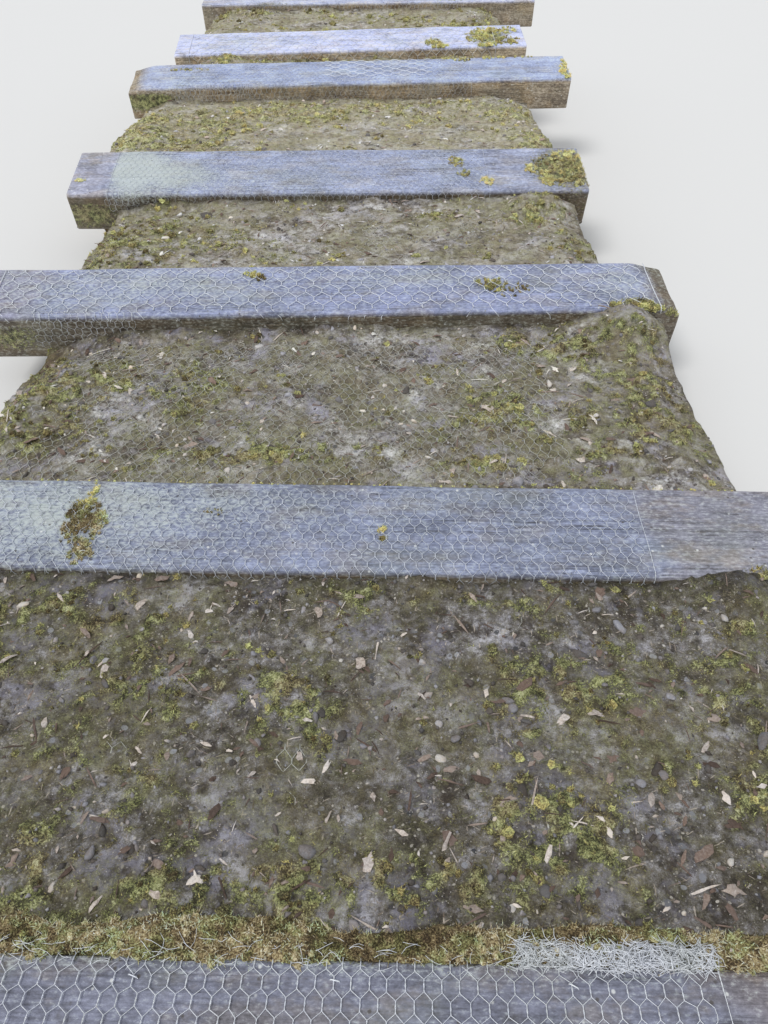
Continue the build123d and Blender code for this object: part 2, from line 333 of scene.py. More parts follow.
class Paint:
    """A procedural material, written as nested calls."""

    def __init__(self, name):
        self.material = bpy.data.materials.new(name)
        self.material.use_nodes = True
        self.tree = self.material.node_tree
        self.tree.nodes.clear()
        output = self.tree.nodes.new("ShaderNodeOutputMaterial")
        self.shader = self.tree.nodes.new("ShaderNodeBsdfPrincipled")
        self.tree.links.new(self.shader.outputs[0], output.inputs[0])
        self.place = self.node("TexCoord", "Object")

    def put(self, socket, value):
        if isinstance(value, Value):
            self.tree.links.new(value.socket, socket)
        elif isinstance(value, tuple) and socket.type == "RGBA":
            socket.default_value = (*value, 1)
        else:
            socket.default_value = value

    def node(self, kind, output, inputs=(), **settings):
        """One output of a new node with these settings and inputs."""
        node = self.tree.nodes.new("ShaderNode" + kind)
        for key, value in settings.items():
            setattr(node, key, value)
        for key, value in inputs.items() if isinstance(inputs, dict) else enumerate(inputs):
            self.put(node.inputs[key], value)
        return Value(self, node.outputs[output])

    def set(self, **values):
        for key, value in values.items():
            self.put(self.shader.inputs[key.replace("_", " ")], value)

    def scaled(self, scale, shift=(0, 0, 0), vector=None):
        return self.node("Mapping", 0, {"Vector": vector or self.place, "Location": shift, "Scale": scale})

    def moved(self, *shift):
        return self.scaled((1, 1, 1), shift)

    def turned(self, angle, stretch, vector):
        """Coordinates turned about Z and drawn out along X."""
        return self.node("Mapping", 0, {"Vector": vector, "Rotation": (0, 0, angle),
                                        "Scale": (1, 1 / stretch, 1 / stretch)}, vector_type="TEXTURE")

    def noise(self, scale, detail=3, rough=0.55, vector=None):
        return self.node("TexNoise", "Fac", {"Vector": vector or self.place, "Scale": scale, "Detail": detail,
                                             "Roughness": rough})

    def warp(self, scale, amount, vector=None):
        """Coordinates pushed about by noise."""
        vector = vector or self.place
        push = self.node("TexNoise", "Color", {"Vector": vector, "Scale": scale})
        push = self.node("VectorMath", 0, (push, (0.5, 0.5, 0.5)), operation="SUBTRACT")
        push = self.node("VectorMath", 0, (push, (amount,) * 3), operation="MULTIPLY")
        return self.node("VectorMath", 0, (push, vector), operation="ADD")

    def cells(self, scale, vector, output="Distance"):
        return self.node("TexVoronoi", output, {"Vector": vector, "Scale": scale})

    def cell_numbers(self, scale, vector):
        """Three random numbers that are the same all over a cell."""
        return self.separate(self.cells(scale, vector, "Color"))

    def rings(self, scale, distortion, vector):
        return self.node("TexWave", "Fac", {"Vector": vector, "Scale": scale, "Distortion": distortion, "Detail": 3,
                                            "Detail Scale": 1.5}, wave_type="RINGS", rings_direction="X")

    def span(self, value, low, high, to_low=0.0, to_high=1.0):
        return self.node("MapRange", 0, (value, low, high, to_low, to_high))

    def mix(self, factor, a, b, blend="MIX"):
        return self.node("Mix", 2, {0: factor, 6: a, 7: b}, data_type="RGBA", blend_type=blend)

    def tinted(self, factor, color, tint):
        """A colour multiplied by a tint, by a share."""
        return self.mix(factor, color, tint, "MULTIPLY")

    def ramp(self, value, stops, light=1.0, most=inf):
        """Colours by value, each made lighter up to a limit."""
        color = self.node("ValToRGB", 0, (value,))
        elements = color.socket.node.color_ramp.elements
        while len(elements) < len(stops):
            elements.new(0.5)
        for element, (position, shade) in zip(elements, stops):
            element.position = position
            element.color = (*lit(shade, light, most), 1)
        return color

    def mark(self, name):
        return self.node("Attribute", "Fac", attribute_name=name)

    def separate(self, vector):
        outputs = self.node("SeparateXYZ", 0, (vector,)).socket.node.outputs
        return [Value(self, socket) for socket in outputs]

    def bump(self, height, strength, distance, normal=None):
        inputs = {"Height": height, "Strength": strength, "Distance": distance}
        return self.node("Bump", 0, inputs | ({"Normal": normal} if normal else {}))


def lit(shade, light, most=inf):
    """A colour made lighter, up to a limit."""
    return tuple(min(most, light * c) for c in shade)


def moss_color(paint, light=1.0):
    """Fine olive to yellow-green stems over brown, greener in some places than in others."""
    value = 0.52 * paint.noise(300, 4, 0.85) + 0.52 * paint.noise(46, 5, 0.72)
    green = [(0.44, (0.026, 0.024, 0.012)), (0.50, (0.130, 0.134, 0.062)),
             (0.56, (0.370, 0.390, 0.160)), (0.64, (0.800, 0.800, 0.400))]
    olive = [(0.44, (0.028, 0.020, 0.012)), (0.50, (0.150, 0.118, 0.060)),
             (0.56, (0.370, 0.320, 0.170)), (0.64, (0.720, 0.660, 0.400))]
    return paint.mix(paint.span(paint.noise(13, 3, 0.6), 0.46, 0.60), paint.ramp(value, green, light, 0.9),
                     paint.ramp(value, olive, light, 0.9))


def wood_material(i, light, tint, face):
    """Weathered grey timber: fibres, rings, checks, darker damp sides, algae and moss, with the sky's reflection
    painted into the top as a lighter, bluer grey.
    """
    paint = Paint("weathered_timber_%d" % (i + 1))
    shifted = paint.moved(1.7 * i, 0.31 * i, 0.17 * i)
    bent = paint.warp(2.2, 0.020, shifted)
    fibre = paint.noise(1, 5, 0.62, paint.scaled((7, 210, 210), vector=bent))
    coarse = paint.noise(1, 4, 0.6, paint.scaled((2.5, 60, 60), vector=bent))
    pith = (0, 0.03 + 0.04 * (i % 3), 0.105 - 0.02 * (i % 2))
    ring = paint.rings(62, 3.0, paint.scaled((0.06, 1, 1), pith, bent))
    patch = paint.noise(9, 6, 0.72, paint.scaled((0.7, 1.3, 1.3), vector=shifted))
    fine = paint.noise(150, 4, 0.75, paint.scaled((0.55, 1, 1), vector=shifted))
    tone = 0.20 * fibre + 0.06 * coarse + 0.02 * ring + 0.34 * patch + 0.40 * fine
    # Painted reflection: light and tint lift the top's grey and turn it blue, standing in for the sky seen in it.
    top = paint.ramp(tone, [(0.40, lit(tint, 0.40 * light)), (0.51, lit(tint, light)),
                            (0.64, lit(tint, 1.9 * light, 1.0))])
    top = paint.tinted(paint.mark("bare"), top, (1.14, 1.00, 0.84))
    # face paints light onto the faces of the farthest timbers.
    damp = paint.ramp(tone, [(0.42, (0.060, 0.046, 0.034)), (0.50, (0.185, 0.150, 0.110)),
                             (0.60, (0.400, 0.340, 0.265))], face)
    height = paint.separate(paint.place)[2] + 0.010 * paint.noise(24, 2)
    color = paint.mix(paint.span(height, -0.014, 0.000), damp, top)
    stain = paint.span(paint.noise(9, 4, 0.65, paint.moved(3.1, 2.2, i)), 0.56, 0.72)
    color = paint.mix(0.45 * stain, color, (0.095, 0.085, 0.070))
    algae = paint.span(paint.noise(4, 5, 0.6, paint.scaled((1, 1.6, 1), (0.7, 5.2, i))), 0.50, 0.70)
    color = paint.mix(0.28 * algae, color, (0.235, 0.260, 0.190))
    warm = paint.span(paint.noise(7, 6, 0.7, paint.scaled((1, 2.2, 1), (2.4, 0.8, i))), 0.49, 0.60)
    color = paint.mix(0.60 * warm, color, paint.tinted(1.0, color, (1.08, 0.93, 0.70)))
    split = paint.noise(1, 3, 0.5, paint.scaled((1.6, 85, 85), (0.4, 0.2, i), bent)) - 0.5
    line = paint.span(paint.node("Math", 0, (split,), operation="ABSOLUTE"), 0.0, 0.016, 1.0, 0.0)
    line = line * paint.span(paint.noise(3.5, 2, 0.5, paint.scaled((1, 3, 3), (8, 1, i))), 0.50, 0.60)
    color = paint.mix(0.75 * line, color, (0.022, 0.019, 0.018))
    film = paint.mark("film") + 3.4 * (fine - 0.5)
    color = paint.mix(paint.span(film, 0.25, 1.05, 0.0, 0.78), color, (0.570, 0.630, 0.600))
    numbers = paint.cell_numbers(85, shifted)
    dot = paint.span(paint.cells(85, shifted), 0.30, 0.16) * paint.span(numbers[0], 0.90, 0.92)
    color = paint.mix(0.8 * dot, color, paint.mix(paint.span(numbers[1], 0.45, 0.55), (0.070, 0.060, 0.050),
                                                  (0.740, 0.760, 0.760)))
    moss = paint.span(paint.mark("moss") + 1.1 * (paint.noise(130, 3, 0.6) - 0.5), 0.38, 0.62)
    color = paint.mix(moss, color, moss_color(paint))
    normal = paint.bump(0.6 * fibre + 0.5 * coarse - 1.2 * line, 0.55, 0.0022)
    normal = paint.bump(moss * paint.noise(420, 3, 0.7), 0.9, 0.004, normal)
    paint.set(Base_Color=color, Roughness=paint.span(tone, 0.35, 0.75, 0.50, 0.80), Specular_IOR_Level=0.55,
              Normal=normal)
    return paint.material


def soil_material(i, light, moss_light):
    """Trodden earth: grit, crumbs, humus, dusty places, pebbles, straw-like litter and a film of moss, painted lighter
    on farther treads and with painted shade along the timbers.
    """
    paint = Paint("packed_earth_%d" % (i + 1))
    # light paints the farther treads lighter; deep, its square root, does so more gently for humus and crumbs.
    deep = light ** 0.5
    higher = min(i, 3)
    bent = paint.warp(30, 0.012)
    grit = paint.noise(430, 4, 0.8, bent)
    clods = paint.noise(48, 7, 0.70, bent)
    tone = 0.25 * grit + 0.37 * clods + 0.38 * paint.noise(7, 5, 0.62)
    color = paint.ramp(tone, [(0.42, (0.036, 0.030, 0.023)), (0.475, (0.118, 0.105, 0.086)),
                              (0.525, (0.232, 0.220, 0.216)), (0.59, (0.560, 0.550, 0.600))], light, 0.9)
    dust = paint.span(paint.noise(8, 6, 0.66, paint.moved(2.3, 4.1, i)), 0.51, 0.62)
    color = paint.mix((0.55 if i == 0 else 0.60) * dust, color, lit((0.285, 0.280, 0.375), light, 0.75))
    humus = paint.span(paint.noise(14, 5, 0.7, paint.moved(5.3, 1.1, i)), 0.53, 0.62)
    color = paint.mix(0.84 * humus, color, lit((0.046, 0.034, 0.028), deep))
    crumb = paint.span(paint.noise(30, 6, 0.74, paint.moved(1.9, 7.7, i)), 0.52, 0.61)
    color = paint.mix(0.72 * crumb, color, lit((0.032, 0.026, 0.021), deep))
    for scale, share, low_shade, high_shade in ((62, 0.12, (0.05, 0.05, 0.06), (0.46, 0.47, 0.52)),
                                                (150, 0.15, (0.06, 0.05, 0.05), (0.66, 0.62, 0.56)),
                                                (380, 0.05, (0.25, 0.23, 0.20), (0.80, 0.78, 0.74))):
        pick = paint.cell_numbers(scale, bent)
        pebble = paint.span(paint.cells(scale, bent), 0.40, 0.32) * paint.span(pick[0], 1 - share, 1.01 - share)
        color = paint.mix(pebble, color, paint.mix(pick[1], low_shade, high_shade))
    for turn, scale, share in ((0.4, 30, 0.16), (1.5, 26, 0.14), (2.6, 34, 0.14)):
        along = paint.turned(turn, 9, bent)
        pick = paint.cell_numbers(scale, along)
        straw = paint.span(paint.cells(scale, along), 0.30, 0.22) * paint.span(pick[2], 1 - share, 1.01 - share)
        color = paint.mix(0.8 * straw, color, paint.mix(pick[0], (0.12, 0.075, 0.045), (0.70, 0.62, 0.54)))
    ragged = 2.1 * (paint.noise(62, 6, 0.78) - 0.5) + 1.3 * (paint.noise(300, 3, 0.7) - 0.5)
    moss = paint.mark("moss") + ragged
    green = moss_color(paint, moss_light)
    bare_below = 0.45 - 0.025 * higher
    sheet = paint.span(paint.noise(5, 6, 0.68, paint.moved(6.1, 0.4, i)), bare_below, bare_below + 0.12)
    sheet = (0.44 + 0.04 * higher) * sheet + paint.span(moss, 0.00, 0.55, 0.0, 0.42)
    olive = tuple(light * c for c in (0.126, 0.110, 0.060 if i == 0 else 0.076))
    color = paint.mix(sheet, color, paint.mix(0.35, olive, green))
    color = paint.tinted(paint.mark("bank"), color, (0.62, 0.50, 0.38))
    cushion = paint.span(moss, 0.50, 0.72)
    color = paint.mix(cushion, color, green)
    # Painted shade from the shade mark, broken up by the clods.
    shade = paint.mark("shade") * paint.span(clods, 0.30, 0.60, 1.0, 0.5)
    color = paint.mix(shade, color, (0.022, 0.018, 0.014))
    normal = paint.bump(clods, 1.0, 0.012, paint.bump(grit, 0.7, 0.002))
    normal = paint.bump(cushion * paint.noise(330, 3, 0.75), 0.9, 0.006, normal)
    paint.set(Base_Color=color, Roughness=paint.span(tone, 0.3, 0.8, 0.70, 0.92), Specular_IOR_Level=0.35,
              Normal=normal)
    return paint.material


def tinted_material(name, stops, rough, bump_scale, bump_distance, speckle, specular, light, hue):
    """Small loose things whose shade follows their own tint, in places of another hue."""
    paint = Paint(name)
    fine = paint.noise(bump_scale, 4, 0.65) - 0.5
    color = paint.ramp(paint.mark("tint") + speckle * fine, stops, light, 0.92)
    other = paint.span(paint.noise(26, 4, 0.7, paint.moved(3, 8, 5)), 0.45, 0.58)
    color = paint.mix(other, color, paint.tinted(1.0, color, hue))
    paint.set(Base_Color=color, Roughness=rough, Specular_IOR_Level=specular,
              Normal=paint.bump(fine, 0.6, bump_distance))
    return paint.material


def wire_material(name, dull, bright):
    """Galvanised wire gone matt, with algae, dirt and a little rust."""
    paint = Paint(name)
    value = 0.6 * paint.noise(55, 4, 0.7) + 0.4 * paint.noise(9, 3, 0.6)
    color = paint.ramp(value, [(0.36, dull), (0.56, bright)])
    film = paint.span(paint.noise(6, 4, 0.6, paint.moved(4, 2, 7)), 0.52, 0.66)
    color = paint.mix(0.20 * film, color, (0.300, 0.330, 0.230))
    rust = paint.span(paint.noise(38, 4, 0.7, paint.moved(1, 9, 3)), 0.64, 0.72)
    color = paint.mix(0.5 * rust, color, (0.200, 0.115, 0.065))
    paint.set(Base_Color=color, Metallic=0.20, Roughness=paint.span(value, 0.3, 0.7, 0.38, 0.62),
              Normal=paint.bump(paint.noise(600, 2, 0.6), 0.3, 0.0004))
    return paint.material


# Timbers
# Drying checks on a top: y, from x, to x, width, depth
CHECKS = metres([
    [(30, 400, 1050, 30, 12), (-40, -700, -150, 22, 7)],
    [(-35, 250, 1020, 26, 9), (60, 700, 1050, 30, 12), (15, -1050, -620, 24, 8)],
    [(-80, -1050, -860, 34, 14), (40, -500, 200, 22, 6)],
    [(52, -990, -800, 36, 16), (-30, -990, -600, 24, 8), (0, 300, 990, 24, 8)],
    [(30, -1000, -550, 26, 9), (-50, 300, 1090, 26, 9)],
    [(30, 350, 960, 30, 12), (-20, -950, -450, 28, 9)],
    [(20, -1050, -400, 26, 9)],
], (MM, MM, MM, TENTH, MM))
# Bites out of a front arris: x, half length, extra radius
BITES = metres([
    [(-420, 50, 6), (550, 30, 8)],
    [(-150, 40, 6), (830, 70, 10)],
    [(-550, 50, 7), (980, 60, 18)],
    [(-930, 60, 10), (100, 50, 7), (800, 60, 9)],
    [(240, 45, 16), (-1020, 80, 20), (1060, 50, 14)],
    [(-700, 60, 10), (300, 50, 10), (800, 100, 14)],
    [(100, 50, 10), (-600, 40, 8)],
], (MM,) * 3)
# Moss and dirt on a timber: x, y (down the face y runs on past the arris), half width, half length, strength
TIMBER_MOSS = metres([
    [(0, 130, 1300, 14, 0.6)],
    [(0, 128, 1100, 8, 0.7), (-490, 0, 60, 100, 0.35), (950, -120, 100, 40, 0.7)],
    [(-980, -200, 120, 50, 0.4), (470, 0, 60, 50, 0.3), (930, -100, 100, 50, 0.7)],
    [(-900, -240, 140, 60, 0.5), (920, 0, 160, 170, 0.92), (620, -100, 80, 30, 0.35), (-300, 135, 500, 12, 0.4)],
    [(-1000, -190, 140, 50, 0.7), (1080, -60, 40, 80, 0.5), (300, 118, 700, 10, 0.5)],
    [(-700, -150, 90, 50, 0.5), (760, -20, 130, 120, 0.75), (470, -70, 50, 50, 0.6)],
    [(-600, -120, 200, 40, 0.4)],
], (MM,) * 4 + (1,))
# Pale film of dust and algae: x, y, half width, half length, strength
TIMBER_FILM = metres([
    [(-100, 120, 900, 20, 0.5), (250, -20, 500, 60, 0.25)],
    [(-660, 30, 340, 140, 0.85), (-200, 50, 300, 80, 0.25)],
    [(-600, 30, 500, 120, 0.52), (900, 20, 180, 120, 0.45), (300, 50, 300, 60, 0.45)],
    [(-770, 20, 100, 160, 1.9), (-620, -20, 120, 120, 0.8), (-400, -50, 300, 100, 0.4)],
    [(-850, 0, 160, 120, 0.35), (200, -80, 700, 40, 0.2), (-950, -200, 200, 50, 0.6)],
    [(-600, 0, 350, 120, 0.55)],
    [(0, 0, 800, 100, 0.4)],
], (MM,) * 4 + (1,))
FILM_BASE = [0.0, 0.14, 0.16, 0.10, 0.06, 0.04, 0.04]
# How grey-brown a timber's top is beyond its netting, left and right
BARE_ENDS = [(1.0, 1.0), (1.0, 0.9), (0.8, 0.7), (0.7, 0.2), (0.2, 0.0), (0.1, 0.0), (0.2, 0.2)]
# Splits in a timber's end: which end, and how far across as a share of the width
END_SPLITS = {0: (1, 0.1), 2: (-1, -0.34), 3: (-1, 0.22), 5: (1, 0.1)}
WORN_ENDS = {2: 1, 4: -1}
WORN_DROP, WORN_REACH = 0.034, 0.115
PLAIN, SPLIT = -1, 99


def worn_drop(i, x):
    """How far a timber's worn corner has sunk at x."""
    return WORN_DROP * np.clip(1 - (LENGTHS[i] / 2 - WORN_ENDS[i] * x) / WORN_REACH, 0, 1) ** 1.25


def outline_samples(i):
    """Places across a timber's top: distance from its middle, and the number of a check, PLAIN or SPLIT."""
    half = WIDTHS[i] / 2
    marks = []
    across = list(np.linspace(-half + 0.026, half - 0.016, 28 if i < 3 else 20))
    for number, (y, _, _, width, _) in enumerate(CHECKS[i]):
        across = [a for a in across if abs(a - y) > 2.2 * width]
        marks += [(y - width, PLAIN), (y, number), (y + width, PLAIN)]
    if i in END_SPLITS:
        y = END_SPLITS[i][1] * WIDTHS[i]
        if all(abs(y - c[0]) > 0.012 for c in CHECKS[i]):
            across = [a for a in across if abs(a - y) > 0.008]
            marks += [(y - 0.0035, PLAIN), (y, SPLIT), (y + 0.0035, PLAIN)]
    return sorted([(a, PLAIN) for a in across] + marks)


def timber_mesh(i, material):
    length, half = LENGTHS[i], WIDTHS[i] / 2
    ends = np.array([0, 0.0015, 0.004, 0.008, 0.014, 0.024, 0.038])
    inner = np.arange(0.055, length - 0.054, 0.021 if i < 3 else 0.028)
    xs = np.concatenate([ends, inner, length - ends[::-1]]) - length / 2
    # Round the section: what it is part of, y, z, the way out of it, and its check
    ring = [("front", -half, z, -1.0, 0.0, PLAIN) for z in np.linspace(-DEPTH + 0.006, -0.026, 12)]
    ring += [("arris", -half, 0.0, cos(radians(a)), sin(radians(a)), PLAIN) for a in np.linspace(180, 90, 7)]
    ring += [("top", y, 0.0, 0.0, 1.0, number) for y, number in outline_samples(i)]
    ring += [("back_arris", half, 0.0, cos(radians(a)), sin(radians(a)), PLAIN) for a in np.linspace(90, 0, 5)]
    ring += [("back", half, z, 1.0, 0.0, PLAIN) for z in np.linspace(-0.018, -DEPTH + 0.006, 10)]
    ring += [("under", y, -DEPTH, 0.0, -1.0, PLAIN) for y in np.linspace(half - 0.004, -half + 0.004, 9)]
    line = xyz(xs, 7.0 * i)
    front_r = FRONT_ARRIS * (1 + 0.35 * fbm(line, 5, 3, 5 + i)) + 0.002 * noise(line, 45, 8)
    for x, reach, more in BITES[i]:
        front_r = front_r + more * np.exp(-((xs - x) / reach) ** 2) * (0.7 + 0.6 * noise(line, 60, 12))
    back_r = BACK_ARRIS * (1 + 0.4 * fbm(line, 6, 3, 15 + i))
    from_end = np.minimum(xs + length / 2, length / 2 - xs)
    round_end = 0.007 + 0.003 * noise(line, 3, 25)
    rounding = round_end - np.sqrt(np.maximum(round_end ** 2 - (round_end - from_end) ** 2, 0))
    inset = np.where(from_end < round_end, rounding, 0)
    wander = 0.004 * fbm(line, 2.2, 3, 35 + i)
    grid = np.zeros((len(xs), len(ring), 3))
    for k, (kind, y, z, ny, nz, number) in enumerate(ring):
        place = xyz(xs, y, z)
        relief = 0.0013 * fbm(place, (3, 14, 14), 3, 45 + i) + 0.0006 * noise(place, (9, 120, 120), 55 + i)
        yy, zz = y, z
        if kind in ("front", "back", "under"):
            relief = relief * 1.5
        if kind == "front":
            zz = np.minimum(z, -front_r - 0.001)
        elif kind == "arris":
            yy, zz = -half + front_r + front_r * ny, -front_r + front_r * nz
        elif kind == "back_arris":
            yy, zz = half - back_r + back_r * ny, -back_r + back_r * nz
        elif kind == "top":
            yy = np.maximum(y + wander * (1 - (y / half) ** 2), -half + front_r + 0.0015)
            relief = relief - 0.0012
        if PLAIN < number < SPLIT:
            _, x0, x1, _, depth = CHECKS[i][number]
            shape = smooth(x0, x0 + 0.10, xs) * (1 - smooth(x1 - 0.10, x1, xs))
            if x0 <= -length / 2 + 0.06:
                shape = 1 - smooth(x1 - 0.12, x1, xs)
            if x1 >= length / 2 - 0.06:
                shape = smooth(x0, x0 + 0.12, xs)
            relief = relief - depth * shape * (0.75 + 0.35 * noise(line, 16, 65))
        if i in END_SPLITS and number > PLAIN:
            side, share = END_SPLITS[i]
            if number == SPLIT or abs(y - share * WIDTHS[i]) < 0.012:
                relief = relief - 0.030 * (1 - smooth(0.0, 0.12, np.abs(side * length / 2 - xs)))
        grid[:, k] = xyz(xs, yy + ny * (relief - inset), zz + nz * (relief - inset))
    if i in WORN_ENDS:
        limit = -(worn_drop(i, grid[..., 0]) * (1 + 0.35 * fbm(grid, 18, 3, 75)))
        grid[..., 2] = np.where(grid[..., 2] > limit, limit + 0.25 * (grid[..., 2] - limit), grid[..., 2])
    if i == 0:
        grid[..., 2] = np.maximum(grid[..., 2], -DEPTH)
    points = grid.reshape(-1, 3)
    x, y, z = points.T
    unrolled = np.where(z < -FRONT_ARRIS, np.where(y < 0, -half + z, half - z), y)
    moss = spots(x, unrolled, TIMBER_MOSS[i])
    moss = moss + smooth(-0.02, -0.05, z) * 0.22 * (0.8 + 0.8 * fbm(points, 6, 3, 85 + i))
    moss = moss + 0.12 * fbm(points, 9, 3, 95 + i)
    film = spots(x, unrolled, TIMBER_FILM[i]) * (0.8 + 0.5 * fbm(points, 12, 3, 105 + i)) + FILM_BASE[i]
    if i == 3:
        film = film * smooth(NET_LEFTS[i] - 0.012, NET_LEFTS[i] + 0.004, x)
    ragged = x + 0.05 * fbm(points, (6, 30, 30), 3, 115 + i)
    bare = BARE_ENDS[i][1] * smooth(NET_RIGHTS[i] - 0.02, NET_RIGHTS[i] + 0.05, ragged)
    bare = bare + BARE_ENDS[i][0] * smooth(NET_LEFTS[i] + 0.02, NET_LEFTS[i] - 0.05, ragged)
    add_mesh("timber_%d" % (i + 1), points, tube_faces(len(xs), len(ring)), {"moss": moss, "film": film, "bare": bare},
             material, ["riser_timber_%d" % (i + 1)], MATRICES[i])


# Netting. A cell is its pitch, row, length of twist and turns in a twist
BEND = FRONT_ARRIS * pi / 2
FINE, COARSE = (0.025, 0.0235, 0.0120, 0), (0.050, 0.043, 0.020, 1)
TREAD_CELL, DRAPE_CELL = (0.025, 0.0245, 0.011, 0), (0.022, 0.024, 0.017, 0)
PATCH_CELL, BUNDLE_CELL = (0.050, 0.043, 0.021, 1), (0.025, 0.0255, 0.011, 0)
# A staple from leg to leg: share of its half width, and height
STAPLE = [(-1, -0.003), (-1, 0.0024), (-0.7, 0.0038), (0.7, 0.0038), (1, 0.0024), (1, -0.003)]
NET_SHOWS = [-0.0030, 0.0028, -0.0014, -0.0010, -0.0022, -0.0022]


def hex_wires(width, rows, cell, spread, jitter, seed):
    """Wires of hexagonal netting as arrays of distance across, along the twists, and lift."""
    pitch, row, twist, turns = cell
    columns = int(width / (pitch / 2)) - 1
    shake = np.random.default_rng(seed).normal(0, jitter, (columns + 2, rows + 1, 2))
    steps = max(1, 4 * turns)
    for j in range(columns):
        points = []
        for r in range(rows):
            c, hand = (j, 1) if (j + r) % 2 == 0 else (j + 1, -1)
            u, v = c * pitch / 2 + shake[c, r, 0], r * row + shake[c, r, 1]
            for k in range(steps + 1):
                turn = 2 * pi * turns * k / steps
                points.append((u + hand * spread * cos(turn), v + (k / steps - 0.5) * twist,
                               hand * spread * sin(turn)))
        yield np.array(points)


def top_run(i):
    """Length of net from a timber's back arris to where it starts to fold over the front."""
    return WIDTHS[i] - FRONT_ARRIS


def over_timber(i, u, v, lift):
    """Points and normals of a net that starts at a timber's back arris and folds over its front."""
    half, run = WIDTHS[i] / 2, top_run(i)
    angle = np.clip((v - run) / FRONT_ARRIS, 0, pi / 2)
    out, up = np.sin(angle), np.cos(angle)
    down = np.maximum(v - run - BEND, 0)
    y = np.where(v <= run, half - v, -half + FRONT_ARRIS - (FRONT_ARRIS + lift) * out)
    z = np.where(v <= run, lift, -FRONT_ARRIS + (FRONT_ARRIS + lift) * up - down)
    return xyz(u, y, z - 0.45 * np.maximum(0, 0.008 - v)), xyz(0.0, -out, up)


def net_drop(i, u):
    """How far a net hangs down a timber's front face at u."""
    if i == 2:
        return -0.006 + 0.020 * noise(xyz(u, u), 14, 3)
    return np.full(np.shape(u), 0.120 if i == 0 else RISER_SHOWS[i - 1] - 0.006)


def staples(gather, random, i, left):
    """Wire staples driven over the net near both edges of a timber's top."""
    half = WIDTHS[i] / 2
    for y in (half - 0.028, -half + 0.040):
        for x in np.arange(left + 0.06, NET_RIGHTS[i], 0.31):
            x = x + random.uniform(-0.04, 0.04)
            turn = random.uniform(-0.5, 0.5)
            dx, dy = 0.0065 * cos(turn), 0.0065 * sin(turn)
            legs = np.array([(x + s * dx, y + s * dy, z) for s, z in STAPLE])
            gather.tube(legs, np.array([-dy, dx, 0.002]) * 100, 0.0009, 4, 0.8)


def timber_net(i, name, material, replaces, left, cell, thick, seed, shear, lift=0.0012, jitter=0.0008):
    """Hexagonal netting laid over a timber from its back to a hem down its front face."""
    pitch, row = cell[:2]
    start, fold, right = -0.020 if i == 0 else 0.012, top_run(i) + BEND, NET_RIGHTS[i]
    gather, random = Gather(), np.random.default_rng(seed + 5)
    for path in hex_wires(right - left, int((fold + 0.14 - start) / row) + 2, cell, thick * 0.52, jitter, seed):
        u = left + pitch / 2 + path[:, 0] - pitch / 4
        v = start + path[:, 1]
        p = xyz(u, v)
        u = u + shear * (v - 0.1) + 0.0035 * fbm(p, 3.5, 2, seed + 1)
        v = v + 0.0035 * fbm(p, 3.5, 2, seed + 2)
        rise = lift + 0.0012 * (1 + noise(p, 11, seed + 3)) + path[:, 2]
        hem = fold + net_drop(i, u) + random.uniform(-0.5, 0.5) * row
        gather.wire(*over_timber(i, u, v, rise), (v > start) & (v < hem), thick / 2,
                    lambda: abs(random.normal(0, 0.004)))
    for edge, hand in product((left, right), (-1, 1)):
        v = np.linspace(start, fold + net_drop(i, np.array([edge]))[0], 60)
        u = edge + hand * thick * 0.5 * np.cos(v * 500) + 0.002 * noise(xyz(v, edge), 12, seed)
        rise = lift + 0.001 + hand * thick * 0.5 * np.sin(v * 500)
        gather.tube(*over_timber(i, u, v, rise), thick / 2)
    staples(gather, random, i, left)
    gather.build(name, material, "galvanised_wire", replaces, MATRICES[i])


def net_drape(i, x0, x1, length, seed, material):
    """Loose end of fine netting hanging down a timber's front face."""
    gather, random = Gather(), np.random.default_rng(seed)
    top = top_run(i)
    start = top - 0.010
    for path in hex_wires(x1 - x0, int((length + 0.05) / 0.024) + 1, DRAPE_CELL, 0.0006, 0.0014, seed):
        u, v = x0 + path[:, 0], start + path[:, 1]
        p = xyz(u, v)
        u = u + 0.004 * fbm(p, 9, 2, seed + 1)
        rise = 0.0022 + 0.0025 * (1 + noise(p, 14, seed + 2))
        hem = top + BEND + length * random.uniform(0.55, 1.0)
        gather.wire(*over_timber(i, u, v, rise), (v > start) & (v < hem), 0.00055)
    gather.build("net_drape_%d" % (i + 1), material, "galvanised_wire", matrix=MATRICES[i])


def turned_patch(i, x0, x1, material):
    """Piece of coarse netting laid over the fine, its twists running along the timber."""
    gather = Gather()
    half = WIDTHS[i] / 2
    high, low = half - 0.016, -half + 0.030
    for path in hex_wires(high - low, int((x1 - x0) / PATCH_CELL[1]), PATCH_CELL, 0.0010, 0.0016, 360):
        x, y = x0 + path[:, 1], high - path[:, 0]
        p = xyz(x, y)
        z = 0.0040 + 0.0012 * (1 + noise(p, 9, 362)) + path[:, 2]
        gather.tube(xyz(x, y + 0.004 * fbm(p, 4, 2, 361), z), UP, 0.0012, 4)
    gather.build("coarse_patch", material, "galvanised_wire", ["coarse_patch_5"], MATRICES[i])


